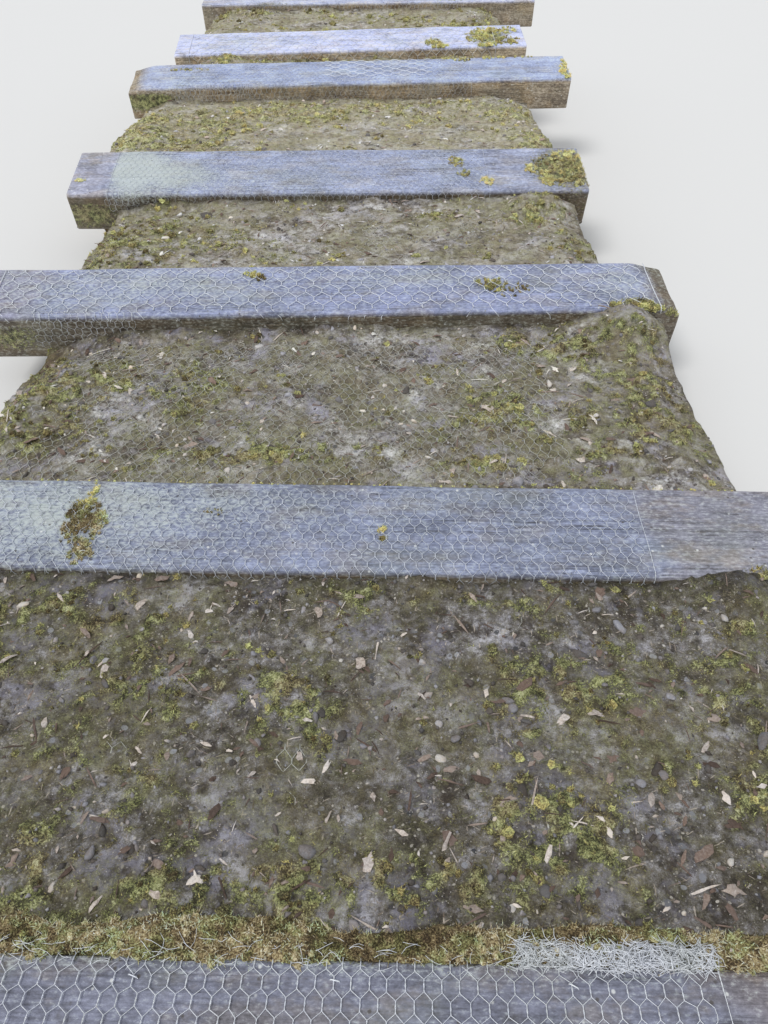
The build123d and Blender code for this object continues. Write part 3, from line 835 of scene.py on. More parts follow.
def tread_net(i, material):
    """Netting on a tread, drawn only where the earth hasn't buried it."""
    (y0, _), (y1, _) = tread_ends(i)
    left, low, high, radius = tread_side(i, -1) + SHOULDER, y0 + 0.035, y1 - 0.035, 0.0006
    gather = Gather()
    for path in hex_wires(TREAD_NET_RIGHT - left, int((high - low) / TREAD_CELL[1]), TREAD_CELL, radius, 0.0011,
                          400 + i):
        u, v = left + path[:, 0], low + path[:, 1]
        p = xyz(u, v)
        u, v = u + 0.006 * fbm(p, 3, 2, 61), v + 0.006 * fbm(p, 3, 2, 62)
        show = 0.0026 * fbm(xyz(u, v), 9, 3, 71 + i, 0.7) * 2.2 + NET_SHOWS[i]
        show = show - 0.0035 * smooth(0.4, 0.9, moss_amount(i, u, v))
        gather.wire(xyz(u, v, soil_z(i, u, v) + np.minimum(show, 0.0026)), UP, show > -0.0004, radius)
    gather.build("tread_mesh_%d" % (i + 1), material, "galvanised_wire", ["tread_netting_%d" % (i + 1)])


def wire_bundle(material):
    """Netting bunched up and folded along the lowest timber's back edge, matted with loose strands."""
    gather, random, leaning = Gather(), np.random.default_rng(517), np.array([0.0, 0.3, 1.0])
    for layer in range(2):
        for path in hex_wires(0.306, 10, BUNDLE_CELL, 0.0007, 0.0022, 511 + layer):
            u, v = 0.326 + path[:, 0] * 0.95 + 0.006 * layer, path[:, 1]
            p = xyz(u, v)
            phase = 2.5 * noise(p, 14, 512) + 1.3 * layer
            y = 0.130 + 0.006 * layer + 0.014 * np.sin(v * 95 + phase) + 0.003 * noise(p, 90, 513)
            z = 0.0085 + 0.0065 * np.sin(v * 61 + 1.7 * phase + 1) + 0.002 * noise(p, 90, 514)
            gather.tube(xyz(u + 0.010 * noise(p, 25, 515), y, np.maximum(z, 0.0014)), leaning, 0.00062)
    for bunched in [True] * 640 + [False] * 180:
        x = random.uniform(0.330, 0.606) if bunched else random.uniform(-0.90, 0.34)
        y = (0.134 if bunched else 0.128) + 0.019 * random.uniform(-1, 1)
        turn = random.normal(0, 0.60)
        s = np.linspace(-1, 1, 4) * random.uniform(0.005, 0.016)
        bow = random.normal(0, 0.30) * (s / 0.016) ** 2 * 0.016
        z = 0.0035 + 0.012 * random.uniform(0, 1) * (1 - ((y - 0.136) / 0.040) ** 2)
        path = xyz(np.minimum(x + s * cos(turn) - bow * sin(turn), 0.622), y + s * sin(turn) + bow * cos(turn),
                   z + random.normal(0, 0.0016, 4))
        gather.tube(path, leaning, random.uniform(0.0004, 0.0007) if bunched else 0.0004)
    gather.build("wire_bundle", material, "galvanised_wire", matrix=MATRICES[0])


# Treads
SOIL_SPACING = [0.0082, 0.0102, 0.0130, 0.0145, 0.0150, 0.0150]
BANK_ROWS = [8, 10, 13, 16, 18, 21]
END_TREAD = COUNT - 2


def tread_mesh(i, material):
    """Closed body of packed earth, with a lumpy top, ragged sides and a flat foot; returns its bank grids."""
    left, right = tread_side(i, -1), tread_side(i, 1)
    (y0, z0), (y1, z1) = tread_ends(i)
    spacing, bank = SOIL_SPACING[i], BANK_ROWS[i]
    xs = np.linspace(left, right, int((right - left) / spacing))
    near = face_y(i, 1, xs, z0) - 0.010
    far = face_y(i + 1, -1, xs, z1) + 0.010
    tops = []
    for t in np.linspace(0, 1, int((y1 - y0) / spacing)):
        y = near + (far - near) * t
        tops.append((t, y, soil_z(i, xs, y)))
    under_low = face_y(i + 1, -1, xs, z1 - 0.1) + 0.014
    under_high = face_y(i + 1, 1, xs, z1 - 0.1)
    for t in (0, 0.34, 0.67, 1):
        y = under_low + (under_high - under_low) * t
        tops.append((1, y, under_z(i + 1, xs, y) + 0.003))
    rows, columns = len(tops), len(xs) + 2 * bank
    grid = np.zeros((rows, columns, 3))
    climbs = np.linspace(0, 1, bank, endpoint=False)
    for r, (t, y, z) in enumerate(tops):
        grid[r, bank:bank + len(xs)] = xyz(xs, y, z)
        slope = tan(radians(LEANS[i] * (1 - t) + LEANS[i + 1] * t))
        for side, edge in ((-1, 0), (1, len(xs) - 1)):
            level = z[edge] * climbs
            along = y[edge] + (z[edge] - level) * slope
            place = xyz(xs[edge], along, level)
            lump = 0.026 * fbm(place, (1, 6, 8), 4, 9 + i) + 0.010 * noise(place, (1, 27, 27), 19 + i)
            lump = lump + 0.006 * noise(place, (1, 60, 60), 39 + i) + 0.010 * np.sin(pi * climbs)
            batter = (z[edge] - level) * tan(radians(SIDE_BATTER))
            values = xyz(xs[edge] + side * (batter + lump * np.minimum(1, 5 * (1 - climbs))), along, level)
            if side < 0:
                grid[r, :bank] = values
            else:
                grid[r, bank + len(xs):] = values[::-1]
    points = grid.reshape(-1, 3)
    faces = grid_faces(rows, columns).tolist() + [list(range(columns))]
    banks = [grid[:, :bank + 1], grid[:, -bank - 1:]]
    last = (rows - 1) * columns
    far_foot = [last]
    if i == END_TREAD:
        end, numbers = end_wall(i, grid[-1], bank, len(xs), climbs, last, len(points))
        points = np.concatenate([points, end[:-1, 1:-1].reshape(-1, 3)])
        low, high = numbers[:-1], numbers[1:]
        faces += np.stack([low[:, :-1], high[:, :-1], high[:, 1:], low[:, 1:]], -1).reshape(-1, 4).tolist()
        far_foot = numbers[0, :-1].tolist()
        banks.append(end)
    else:
        faces.append([last + k for k in range(columns)][::-1])
    for first in range(0, last, columns):
        after = first + columns
        faces.append([first, *(far_foot if after == last else [after]), after + columns - 1, after - 1])
    x, y, z = points.T
    depth_below = np.where(y > y1, under_z(i + 1, x, y), z0 + (z1 - z0) * np.clip((y - y0) / (y1 - y0), 0, 1)) - z
    side_moss = 0.10 + 0.45 * fbm(points, 5, 3, 29) + 0.45 * smooth(0.16, 0.0, depth_below)
    moss = np.where(depth_below > 0.06, side_moss, moss_amount(i, x, y))
    # Painted shade: the earth is darkened at the foot of the higher timber's front face, along the lower timber's back,
    # and on the banks toward their bottom.
    from_high, from_low = face_y(i + 1, -1, x, z1) - y, y - face_y(i, 1, x, z0)
    shade = np.exp(-(from_high / 0.030) ** 2) + 0.6 * np.exp(-(from_low / 0.016) ** 2)
    shade = np.where(depth_below > 0.08, 0.4 * smooth(0.10, 0.0, z), shade)
    shade = np.clip(shade * (0.65 + 0.8 * fbm(points, 20, 3, 73)), 0, 0.85)
    bank_tone = smooth(0.02, 0.09, depth_below)
    if i == END_TREAD:
        back = ORIGINS[i + 1][1] + WIDTHS[i + 1] / 2
        bank_tone = np.maximum(bank_tone, smooth(back - 0.05, back - 0.02, y))
    add_mesh("tread_%d" % (i + 1), points, faces, {"moss": moss, "shade": shade, "bank": bank_tone}, material,
             ["tread_fill_%d" % (i + 1)])
    return banks


def end_wall(i, outline, bank, width, climbs, first, count):
    """Lumpy wall that closes the highest tread behind its last timber: its points and their numbers."""
    share = np.linspace(0, 1, width)
    wall = np.zeros((bank + 1, width, 3))
    numbers = np.zeros((bank + 1, width), int)
    low_left, low_right = outline[:bank], outline[-bank:][::-1]
    top = outline[bank:bank + width]
    for k, climb in enumerate(climbs):
        x = low_left[k, 0] + (low_right[k, 0] - low_left[k, 0]) * share
        z = top[:, 2] * climb
        y = face_y(i + 1, 1, x, z)
        place = xyz(x, y, z)
        lump = 0.022 * fbm(place, (6, 1, 8), 4, 209) + 0.008 * noise(place, (27, 1, 27), 219)
        lump = lump + 0.005 * noise(place, (60, 1, 60), 239)
        y = y + lump * min(1, k / 2, 5 * (1 - climb)) * np.minimum(1, 12 * np.minimum(share, 1 - share))
        wall[k] = xyz(x, y, z)
        wall[k, 0], wall[k, -1] = low_left[k], low_right[k]
        numbers[k, 1:-1] = count + k * (width - 2) + np.arange(width - 2)
        numbers[k, 0], numbers[k, -1] = first + k, first + 2 * bank + width - 1 - k
    wall[bank] = top
    numbers[bank] = first + bank + np.arange(width)
    return wall, numbers


# Small loose things
def ball(level):
    """Points and triangles of a ball."""
    mesh = bpy.data.meshes.new("ball")
    b = bmesh.new()
    bmesh.ops.create_icosphere(b, subdivisions=level, radius=1.0)
    b.to_mesh(mesh)
    b.free()
    shape = np.array([v.co[:] for v in mesh.vertices]), np.array([p.vertices[:] for p in mesh.polygons])
    bpy.data.meshes.remove(mesh)
    return shape


def turned(random, count, tilt=pi):
    """Random rotation matrices."""
    a, b, c = random.uniform(0, 2 * pi, count), random.uniform(-tilt, tilt, count), random.uniform(-tilt, tilt, count)
    z, o = np.zeros(count), np.ones(count)
    rz = np.array([[np.cos(a), -np.sin(a), z], [np.sin(a), np.cos(a), z], [z, z, o]]).transpose(2, 0, 1)
    rx = np.array([[o, z, z], [z, np.cos(b), -np.sin(b)], [z, np.sin(b), np.cos(b)]]).transpose(2, 0, 1)
    ry = np.array([[np.cos(c), z, np.sin(c)], [z, o, z], [-np.sin(c), z, np.cos(c)]]).transpose(2, 0, 1)
    return rz @ rx @ ry


def knapped(random, count, points):
    """Stone shapes with a few flat faces knocked off each."""
    body = np.repeat(points[None], count, 0) * (1 + 0.10 * random.uniform(-1, 1, (count, len(points), 1)))
    for _ in range(7):
        n = unit(random.normal(0, 1, (count, 1, 3)))
        over = (body * n).sum(2, keepdims=True) - random.uniform(0.38, 0.80, (count, 1, 1))
        body = body - np.maximum(over, 0) * n
    return body


def placed(frames, bodies, centres):
    return np.einsum("nij,nkj->nki", frames, bodies) + centres[:, None]


def chosen(random, chance, most):
    """Numbers of the places that come up by their chances, up to a limit."""
    return np.flatnonzero(random.uniform(0, 1, len(chance)) < chance)[:most]


def scatter_shapes(gather, random, places, shape, sizes, rotation, tints, rough=None):
    """Copies of a shape, each with its own size and turn, and roughened or, without rough, knapped."""
    points, faces = shape
    if rough is None:
        body = knapped(random, len(places), points)
    else:
        body = points[None] * (1 + rough * random.uniform(-1, 1, (len(places), len(points), 1)))
    gather.add_copies(placed(rotation, body * sizes[:, None, :], places), faces, np.repeat(tints, len(points)))


def tube_triangles(stations, sides):
    return [face for k in range(stations - 1) for c in range(sides)
            for a, b in [(sides * k + c, sides * k + (c + 1) % sides)]
            for face in ([a, a + sides, b], [b, a + sides, b + sides])]


def dome_shape(sides=6):
    """Low dome with its rim tucked under, all triangles."""
    points = [[0, 0, 1]]
    for level, reach in ((0.82, 0.52), (0.48, 0.86), (0.02, 1.00), (-0.45, 0.75)):
        points += [[reach * cos(2 * pi * (k + level) / sides), reach * sin(2 * pi * (k + level) / sides), level]
                   for k in range(sides)]
    faces = [[0, 1 + k, 1 + (k + 1) % sides] for k in range(sides)]
    faces += [[k + 1 for k in face] for face in tube_triangles(4, sides)]
    last = 1 + 3 * sides
    faces += [[last, last + k + 1, last + k] for k in range(1, sides - 1)]
    return np.array(points, float), np.array(faces)


def chip_shape(stations):
    """Thin arched sliver from its stations (x, half width), all triangles."""
    points = [[x, side * w, rise - 2.2 * x * x] for x, w in stations
              for side, rise in ((1, 1), (-1, 1), (-1, -1), (1, -1))]
    last = 4 * (len(stations) - 1)
    faces = [[0, 1, 2], [0, 2, 3]] + tube_triangles(len(stations), 4)
    faces += [[last, last + 2, last + 1], [last, last + 3, last + 2]]
    return np.array(points, float), np.array(faces)


OCTA = (np.array([[1, 0, 0], [-1, 0, 0], [0, 1, 0], [0, -1, 0], [0, 0, 1], [0, 0, -1]], float),
        np.array([[0, 2, 4], [2, 1, 4], [1, 3, 4], [3, 0, 4], [2, 0, 5], [1, 2, 5], [3, 1, 5], [0, 3, 5]]))
TETRA = np.array([[0, 1, 3], [1, 2, 3], [2, 0, 3], [2, 1, 0]])
DOME = dome_shape()
CHIP = chip_shape([(-1, 0.35), (-0.55, 0.75), (0.0, 1.0), (0.5, 0.8), (1, 0.30)])
SLIVER = chip_shape([(-1, 0.4), (0.1, 1.0), (1, 0.3)])


def stems(gather, random, places, normals, height, width, lean=0.5, tints=None):
    """Moss stems: thin closed spikes that lean at random."""
    n = len(places)
    tall = height * random.uniform(0.5, 1.25, n)
    away = unit(normals + random.normal(0, lean, (n, 3)))
    tips = places + away * tall[:, None]
    turn = random.uniform(0, 2 * pi, n)
    around = [turn + k * 2 * pi / 3 for k in range(3)]
    feet = [places + width * xyz(np.cos(a), np.sin(a)) - away * 0.0015 for a in around]
    tint = random.uniform(0, 1, n) if tints is None else np.clip(tints, 0, 1)
    # Bases are darker, partly their older brown and partly painted shade at their feet; tips are paler.
    gather.add_copies(np.stack([*feet, tips], 1), TETRA,
                      np.stack([tint * 0.6] * 3 + [np.minimum(1, tint + 0.22)], -1).reshape(-1))


def tufts(gather, random, centres, ups, radius, height, tint, each, stem_height, stem_width):
    """Small cushions of moss, each a lumpy dome set with stems."""
    n = len(centres)
    points, faces = DOME
    side = unit(np.cross(ups, [0.31, 0.95, 0.05]))
    frames = np.stack([side, np.cross(ups, side), ups], -1)
    size = xyz(radius, radius, height)
    rough = random.uniform(0.60, 1.22, (n, len(points), 1))
    # Painted shade and light: points of a dome pushed in are darker, those pushed out lighter.
    shade = tint[:, None] * (0.50 + 0.80 * (rough[..., 0] - 0.60))
    gather.add_copies(placed(frames, points[None] * size[:, None] * rough, centres), faces, shade.reshape(-1))
    around, rise = random.uniform(0, 2 * pi, (n, each)), random.uniform(0.05, 1, (n, each))
    flat_part = np.sqrt(1 - rise ** 2)
    way = xyz(flat_part * np.cos(around), flat_part * np.sin(around), rise)
    places = placed(frames, way * size[:, None] * 0.95, centres)
    normals = np.einsum("nij,nkj->nki", frames, way + [0, 0, 0.5])
    stems(gather, random, places.reshape(-1, 3), normals.reshape(-1, 3), stem_height, stem_width, 0.45,
          np.repeat(tint, each) + random.normal(0, 0.10, n * each))


def tread_spots(i, random, count):
    """Random places on a tread between its timbers."""
    x = random.uniform(tread_side(i, -1) + 0.015, tread_side(i, 1) - 0.015, count)
    t = random.uniform(0, 1, count)
    near = face_y(i, 1, x, tread_ends(i)[0][1]) + 0.006
    far = face_y(i + 1, -1, x, tread_ends(i)[1][1]) - 0.006
    return x, near + (far - near) * t


def grid_spots(grid, random, count):
    """Random places on a grid of points, with their cells."""
    r, c = random.integers(0, grid.shape[0] - 1, count), random.integers(0, grid.shape[1] - 1, count)
    s, t = random.uniform(0, 1, (count, 1)), random.uniform(0, 1, (count, 1))
    low = grid[r, c] * (1 - s) + grid[r + 1, c] * s
    high = grid[r, c + 1] * (1 - s) + grid[r + 1, c + 1] * s
    return low * (1 - t) + high * t, r, c


def bank_spots(banks, random, count):
    """Random places on a tread's banks, with their outward normals and how high up they are."""
    found = []
    areas = [np.ptp(g[..., 0]) * np.ptp(g[..., 2]) + np.ptp(g[..., 1]) * np.ptp(g[..., 2]) for g in banks]
    for g, area, outward in zip(banks, areas, ((-1, 0, 0), (1, 0, 0), (0, 1, 0))):
        place, r, c = grid_spots(g, random, int(count * area / sum(areas)))
        normal = unit(np.cross(g[r + 1, c] - g[r, c], g[r, c + 1] - g[r, c]))
        normal = normal * np.sign(normal @ np.array(outward) + 1e-9)[:, None]
        found.append((place, normal, place[:, 2] / g[..., 2].max()))
    return [np.concatenate(part) for part in zip(*found)]


def stones_on(i, banks, large, small, chips, stone_paint, chip_paint):
    """Gravel, grit and stones in the banks as one piece, and chips and slivers as another."""
    random = np.random.default_rng(900 + i)
    stones, bits = Gather(), Gather()
    x, y = tread_spots(i, random, large)
    size = np.sort(random.gamma(1.8, 0.0019, large) + 0.0032)[::-1]
    sizes = size[:, None] * random.uniform(0.6, 1.2, (large, 3)) * [1.25, 1, 0.7]
    places = xyz(x, y, soil_z(i, x, y) + sizes[:, 2] * random.uniform(-0.5, 0.25, large))
    tints = random.uniform(0, 1, large) ** 1.2
    for part, level in ((slice(large // 3), 2), (slice(large // 3, large), 1)):
        scatter_shapes(stones, random, places[part], ball(level), sizes[part], turned(random, len(sizes[part]), 0.5),
                       tints[part])
    x, y = tread_spots(i, random, small)
    size = random.gamma(2.5, 0.0007, small) + 0.0012
    sizes = size[:, None] * random.uniform(0.6, 1.2, (small, 3))
    places = xyz(x, y, soil_z(i, x, y) + sizes[:, 2] * random.uniform(-0.2, 0.5, small))
    scatter_shapes(stones, random, places, OCTA, sizes, turned(random, small),
                   random.uniform(0, 0.9, small) ** 1.3, 0.3)
    places, normals, _ = bank_spots(banks, random, 90 + 32 * i)
    places, normals = places[places[:, 2] > 0.018], normals[places[:, 2] > 0.018]
    n = len(places)
    sizes = (random.gamma(1.8, 0.0026, n) + 0.0038)[:, None] * random.uniform(0.7, 1.2, (n, 3))
    scatter_shapes(stones, random, places - normals * 0.35 * sizes, ball(1), sizes, turned(random, n),
                   random.uniform(0, 1, n) ** 1.2)
    stones.build("gravel_%d" % (i + 1), stone_paint)
    x, y = tread_spots(i, random, chips)
    length = np.sort(np.minimum(random.gamma(1.7, 0.0031, chips) + 0.0025, 0.0155))[::-1]
    thin = random.uniform(0, 1, chips) < 0.34
    broad = np.where(thin, 0.055, random.uniform(0.20, 0.55, chips))
    length = np.where(thin, length * 1.7, length)
    sizes = xyz(length, length * broad + 0.0003, random.uniform(0.0004, 0.0010, chips))
    places = xyz(x, y, soil_z(i, x, y) + 0.0022)
    for part, shape in ((slice(chips // 5), CHIP), (slice(chips // 5, chips), SLIVER)):
        n = len(sizes[part])
        scatter_shapes(bits, random, places[part], shape, sizes[part], turned(random, n, 0.35),
                       random.uniform(0, 1, n), 0.50)
    bits.build("bark_chips_%d" % (i + 1), chip_paint, shade_smooth=False)


def moss_on(i, banks, count, height, width, tuft_count, tuft_size, material):
    """Loose stems and cushions of moss on a tread."""
    gather, random = Gather(), np.random.default_rng(1200 + i)
    x, y = tread_spots(i, random, count * 6)
    keep = chosen(random, smooth(0.25, 0.85, moss_amount(i, x, y) + 0.5 * fbm(xyz(x, y), 60, 2, 91)), count)
    x, y = x[keep], y[keep]
    stems(gather, random, xyz(x, y, soil_z(i, x, y)), UP, height, width)
    x, y = tread_spots(i, random, tuft_count * 12)
    chance = smooth(0.20, 1.1, moss_amount(i, x, y) + 0.9 * fbm(xyz(x, y), 14, 2, 97 + i))
    keep = chosen(random, chance, tuft_count)
    x, y, n = x[keep], y[keep], len(keep)
    radius = tuft_size * np.minimum(0.40 + random.gamma(1.6, 0.36, n), 1.7)
    tint = np.clip(random.uniform(0.20, 0.66, n) + 0.40 * fbm(xyz(x, y), 6, 2, 99), 0.1, 0.76)
    ups = unit(UP + random.normal(0, 0.15, (n, 3)))
    tufts(gather, random, xyz(x, y, soil_z(i, x, y) - 0.15 * radius), ups, radius,
          radius * random.uniform(0.5, 0.9, n), tint, 8, height, width)
    places, normals, climbs = bank_spots(banks, random, 500 + 100 * i)
    chance = smooth(0.15, 1.0, 0.9 * climbs + 0.9 * fbm(places, 7, 3, 93 + i)) ** 2
    keep = chosen(random, chance * (places[:, 2] > 0.04), 38 + 5 * i)
    radius = 0.0085 * np.minimum(0.5 + random.gamma(1.8, 0.36, len(keep)), 1.9)
    tufts(gather, random, places[keep], unit(normals[keep] + [0, 0, 0.4]), radius, radius * 0.6,
          random.uniform(0.2, 0.8, len(keep)), 8, 0.008, 0.0018)
    gather.build("moss_%d" % (i + 1), material, shade_smooth=False)


def tuft_patch(gather, random, x, y, rx, ry, count, size, tint, each, i=None):
    """Ragged patch of small cushions on a timber's top, kept within timber i where it is given."""
    a = random.uniform(0, 2 * pi, count)
    q = random.uniform(0, 1, count) ** 0.6
    px, py, pz = x + rx * q * np.cos(a), y + ry * q * np.sin(a), np.full(count, -0.0005)
    radius = size * np.minimum(0.5 + random.gamma(1.8, 0.28, count), 1.5) * (1.15 - 0.5 * q)
    height = radius * random.uniform(0.45, 0.85, count)
    shade = np.clip(tint + random.normal(0, 0.16, count), 0.05, 1)
    if i is not None:
        end, edge = LENGTHS[i] / 2, WIDTHS[i] / 2
        px = np.clip(px, -end + 0.3 * radius, end - 0.3 * radius)
        py = np.clip(py, -edge + 0.3 * radius, edge + 0.006)
        pz = pz - np.maximum(0, np.abs(px) - end + 0.010)
        if i in WORN_ENDS:
            pz = pz - worn_drop(i, px)
    ups = unit(UP + random.normal(0, 0.12, (count, 3)))
    tufts(gather, random, xyz(px, py, pz), ups, radius, height, shade, each, 1.05 * size, 0.15 * size)


def moss_band(gather, random, x0, x1, y, half, height, base, seed):
    """Long low ridge of moss along a timber's back arris, closed underneath and set with cushions."""
    xs = np.arange(x0, x1, 0.008)
    across = np.linspace(-1, 1, 10)
    x, a = np.meshgrid(xs, across, indexing="ij")
    p = xyz(x, a * half)
    width = half * (0.80 + 0.45 * fbm(xyz(xs, 0.0), 11, 3, seed))[:, None]
    centre = y + 0.009 * fbm(xyz(xs, 1.0), 9, 3, seed + 1)[:, None]
    taper = np.minimum(1, np.minimum(x - x0, x1 - x) / 0.03)
    dome = (1 - a ** 2) ** 0.7 * height * (0.60 + 0.9 * fbm(p, (22, 45, 1), 3, seed + 2)) * taper
    dome = dome + 0.003 * noise(p, 110, seed + 3) * (1 - a ** 2)
    ridge = xyz(x, centre + a * width, base + dome)
    foot = xyz(xs, centre[:, 0], base - 0.010)
    grid = np.concatenate([ridge, foot[:, None]], 1)
    points = grid.reshape(-1, 3)
    gather.add(points, tube_faces(*grid.shape[:2]), 0.22 + 0.25 * noise(points, 70, seed + 4))

    def on_ridge(n):
        places, _, c = grid_spots(ridge, random, n)
        return places, unit(xyz(0.0, 0.6 * across[c], 1.0) + random.normal(0, 0.2, (n, 3)))

    def shade_of(places, spread):
        near_edge = smooth(-0.008, -0.026, places[:, 1] - y)
        tint = 0.44 + 1.0 * fbm(places, (24, 55, 24), 3, seed + 5) + 0.6 * fbm(places, (5, 18, 5), 2, seed + 6)
        return np.clip(tint + 0.34 * near_edge + random.normal(0, spread, len(places)), 0.02, 0.99)

    places, ups = on_ridge(360)
    radius = np.minimum(0.0034 + random.gamma(1.8, 0.0014, 360), 0.0080)
    tufts(gather, random, places, ups, radius, radius * 0.9, np.minimum(shade_of(places, 0.12), 0.66), 9, 0.0065,
          0.0010)
    places, ups = on_ridge(5200)
    stems(gather, random, places, ups, 0.0085, 0.0011, 0.8, shade_of(places, 0.24))


# Patches of moss on the timbers: timber, x, y, half width, half length, cushions, size, tint
PATCH_UNITS = (1, MM, MM, MM, MM, 1, TENTH, 1)
PATCHES = metres([
    (1, -500, 90, 14, 30, 16, 60, 0.9), (1, -512, 55, 22, 18, 14, 58, 0.75),
    (1, -470, 10, 12, 30, 10, 58, 0.6), (1, 146, -12, 10, 10, 9, 55, 0.8), (1, 146, -35, 8, 10, 6, 50, 0.35),
    (1, 980, -110, 80, 30, 40, 80, 0.5), (2, -245, 80, 30, 16, 16, 70, 0.7), (2, -225, 60, 20, 12, 9, 70, 0.3),
    (2, 485, 20, 45, 34, 34, 62, 0.5), (2, 520, -5, 40, 30, 26, 62, 0.38),
    (2, 940, -112, 110, 30, 50, 100, 0.45), (3, -955, -55, 30, 8, 12, 62, 0.85),
    (3, 495, 50, 35, 40, 30, 74, 0.5), (3, 515, -30, 28, 28, 16, 70, 0.4), (3, 603, -85, 30, 26, 22, 78, 0.8),
    (3, 781, 3, 26, 34, 22, 82, 0.75), (3, 838, -60, 30, 60, 34, 82, 0.55), (3, 950, 30, 85, 100, 66, 82, 0.5),
    (3, 890, -90, 90, 45, 34, 80, 0.55), (3, 930, 100, 60, 28, 24, 84, 0.7),
    (4, 1070, -60, 26, 70, 40, 90, 0.92), (4, 1085, 40, 16, 40, 18, 85, 0.8),
    (4, -800, 62, 110, 12, 22, 60, 0.45), (4, 700, 118, 240, 8, 34, 75, 0.7),
    (4, 572, 99, 40, 16, 12, 80, 0.55), (5, 450, -70, 50, 50, 40, 94, 0.55),
    (5, 490, -120, 50, 20, 22, 96, 0.8), (5, 700, -20, 65, 90, 50, 100, 0.6),
    (5, 745, 40, 60, 70, 32, 105, 0.8), (5, 750, -120, 55, 20, 28, 105, 0.75),
    (5, 860, -70, 70, 60, 44, 98, 0.45), (5, 850, 60, 80, 50, 34, 100, 0.6),
    (6, 560, -80, 140, 30, 34, 100, 0.7),
], PATCH_UNITS)
# Patches of dry brown moss and dirt, in the same terms
DRY_PATCHES = metres([
    (1, -500, -5, 40, 66, 90, 64, 0.34), (1, -530, 0, 12, 60, 26, 56, 0.22),
    (1, -500, 12, 26, 34, 30, 62, 0.36), (1, -462, -10, 17, 50, 22, 60, 0.66),
    (1, -480, -85, 30, 36, 44, 64, 0.55), (1, -225, 35, 26, 12, 16, 30, 0.42),
    (2, 560, -20, 60, 40, 20, 60, 0.36), (3, 880, 40, 80, 70, 40, 70, 0.4),
    (3, 960, -60, 60, 70, 30, 70, 0.45),
], PATCH_UNITS)

# Paints of the timbers: light, tint, and light of the damp front face. Light and tint paint the sky's reflection into
# the tops, lighter and bluer on the farther timbers, and the face light paints the far timbers' faces lighter.
WOOD_PAINTS_AND_SKY_SHEEN = [(0.196, (0.96, 1.01, 1.36), 0.8), (0.252, (0.90, 1.02, 1.50), 0.7), (0.298, (0.89, 1.01, 1.62), 0.66),
         (0.370, (0.90, 1.02, 1.52), 0.66), (0.450, (0.87, 1.02, 1.60), 1.75), (0.690, (0.94, 1.03, 1.53), 2.35),
         (0.590, (0.93, 1.02, 1.44), 1.5)]
# How much lighter each tread's earth, moss and loose stones and chips are painted: more on the farther treads, as
# painted light; for the moss partly also its own yellower colour there.
SOIL_PAINTED_LIGHT = [1.18, 1.88, 2.40, 3.05, 2.85, 2.80]
MOSS_LIGHT_PARTLY_PAINTED = [1.40, 1.60, 1.80, 2.50, 2.20, 2.00]
LOOSE_PAINTED_LIGHT = [1.0, 1.25, 1.55, 1.80, 1.80, 1.80]
STONE_SHADES = [(0.0, (0.060, 0.054, 0.050)), (0.40, (0.155, 0.150, 0.155)), (0.70, (0.310, 0.312, 0.355)),
                (1.0, (0.640, 0.610, 0.560))]
CHIP_SHADES = [(0.0, (0.070, 0.045, 0.034)), (0.4, (0.200, 0.140, 0.112)), (0.7, (0.370, 0.305, 0.262)),
               (1.0, (0.780, 0.700, 0.630))]
MOSS_SHADES = [(0.0, (0.026, 0.022, 0.013)), (0.25, (0.100, 0.092, 0.048)), (0.50, (0.250, 0.250, 0.110)),
               (0.75, (0.420, 0.440, 0.180)), (1.0, (0.600, 0.620, 0.290))]
DRY_SHADES = [(0.0, (0.050, 0.036, 0.022)), (0.25, (0.200, 0.146, 0.078)), (0.48, (0.430, 0.350, 0.190)),
              (0.70, (0.680, 0.600, 0.410)), (0.88, (0.820, 0.800, 0.660)), (1.0, (0.800, 0.880, 0.840))]
woods = [wood_material(i, *WOOD_PAINTS_AND_SKY_SHEEN[i]) for i in range(COUNT)]
soils = [soil_material(i, SOIL_PAINTED_LIGHT[i], MOSS_LIGHT_PARTLY_PAINTED[i]) for i in TREADS]
wire = wire_material("galvanised_wire", (0.540, 0.570, 0.640), (0.860, 0.900, 0.980))
old_wire = wire_material("buried_wire", (0.400, 0.400, 0.360), (0.760, 0.770, 0.730))
bright_wire = wire_material("bright_wire", (0.780, 0.820, 0.930), (0.930, 0.960, 1.000))
patch_wire = wire_material("patch_wire", (0.800, 0.830, 0.900), (0.920, 0.950, 1.000))
stone_paints = [tinted_material("gravel_%d" % (i + 1), STONE_SHADES, 0.75, 300, 0.0016, 0.55, 0.4, LOOSE_PAINTED_LIGHT[i],
                                (1.0, 0.90, 0.80)) for i in TREADS]
chip_paints = [tinted_material("bark_%d" % (i + 1), CHIP_SHADES, 0.8, 240, 0.0012, 0.75, 0.4, LOOSE_PAINTED_LIGHT[i],
                               (0.92, 0.96, 1.02)) for i in TREADS]
mosses = [tinted_material("moss_%d" % (i + 1), MOSS_SHADES, 0.9, 420, 0.0020, 2.2, 0.2,
                          MOSS_LIGHT_PARTLY_PAINTED[min(i, END_TREAD)], (1.04, 0.88, 0.84)) for i in range(COUNT)]
dry_moss = tinted_material("dry_moss", DRY_SHADES, 0.9, 360, 0.0030, 2.0, 0.2, 1.0, (0.80, 0.98, 0.78))

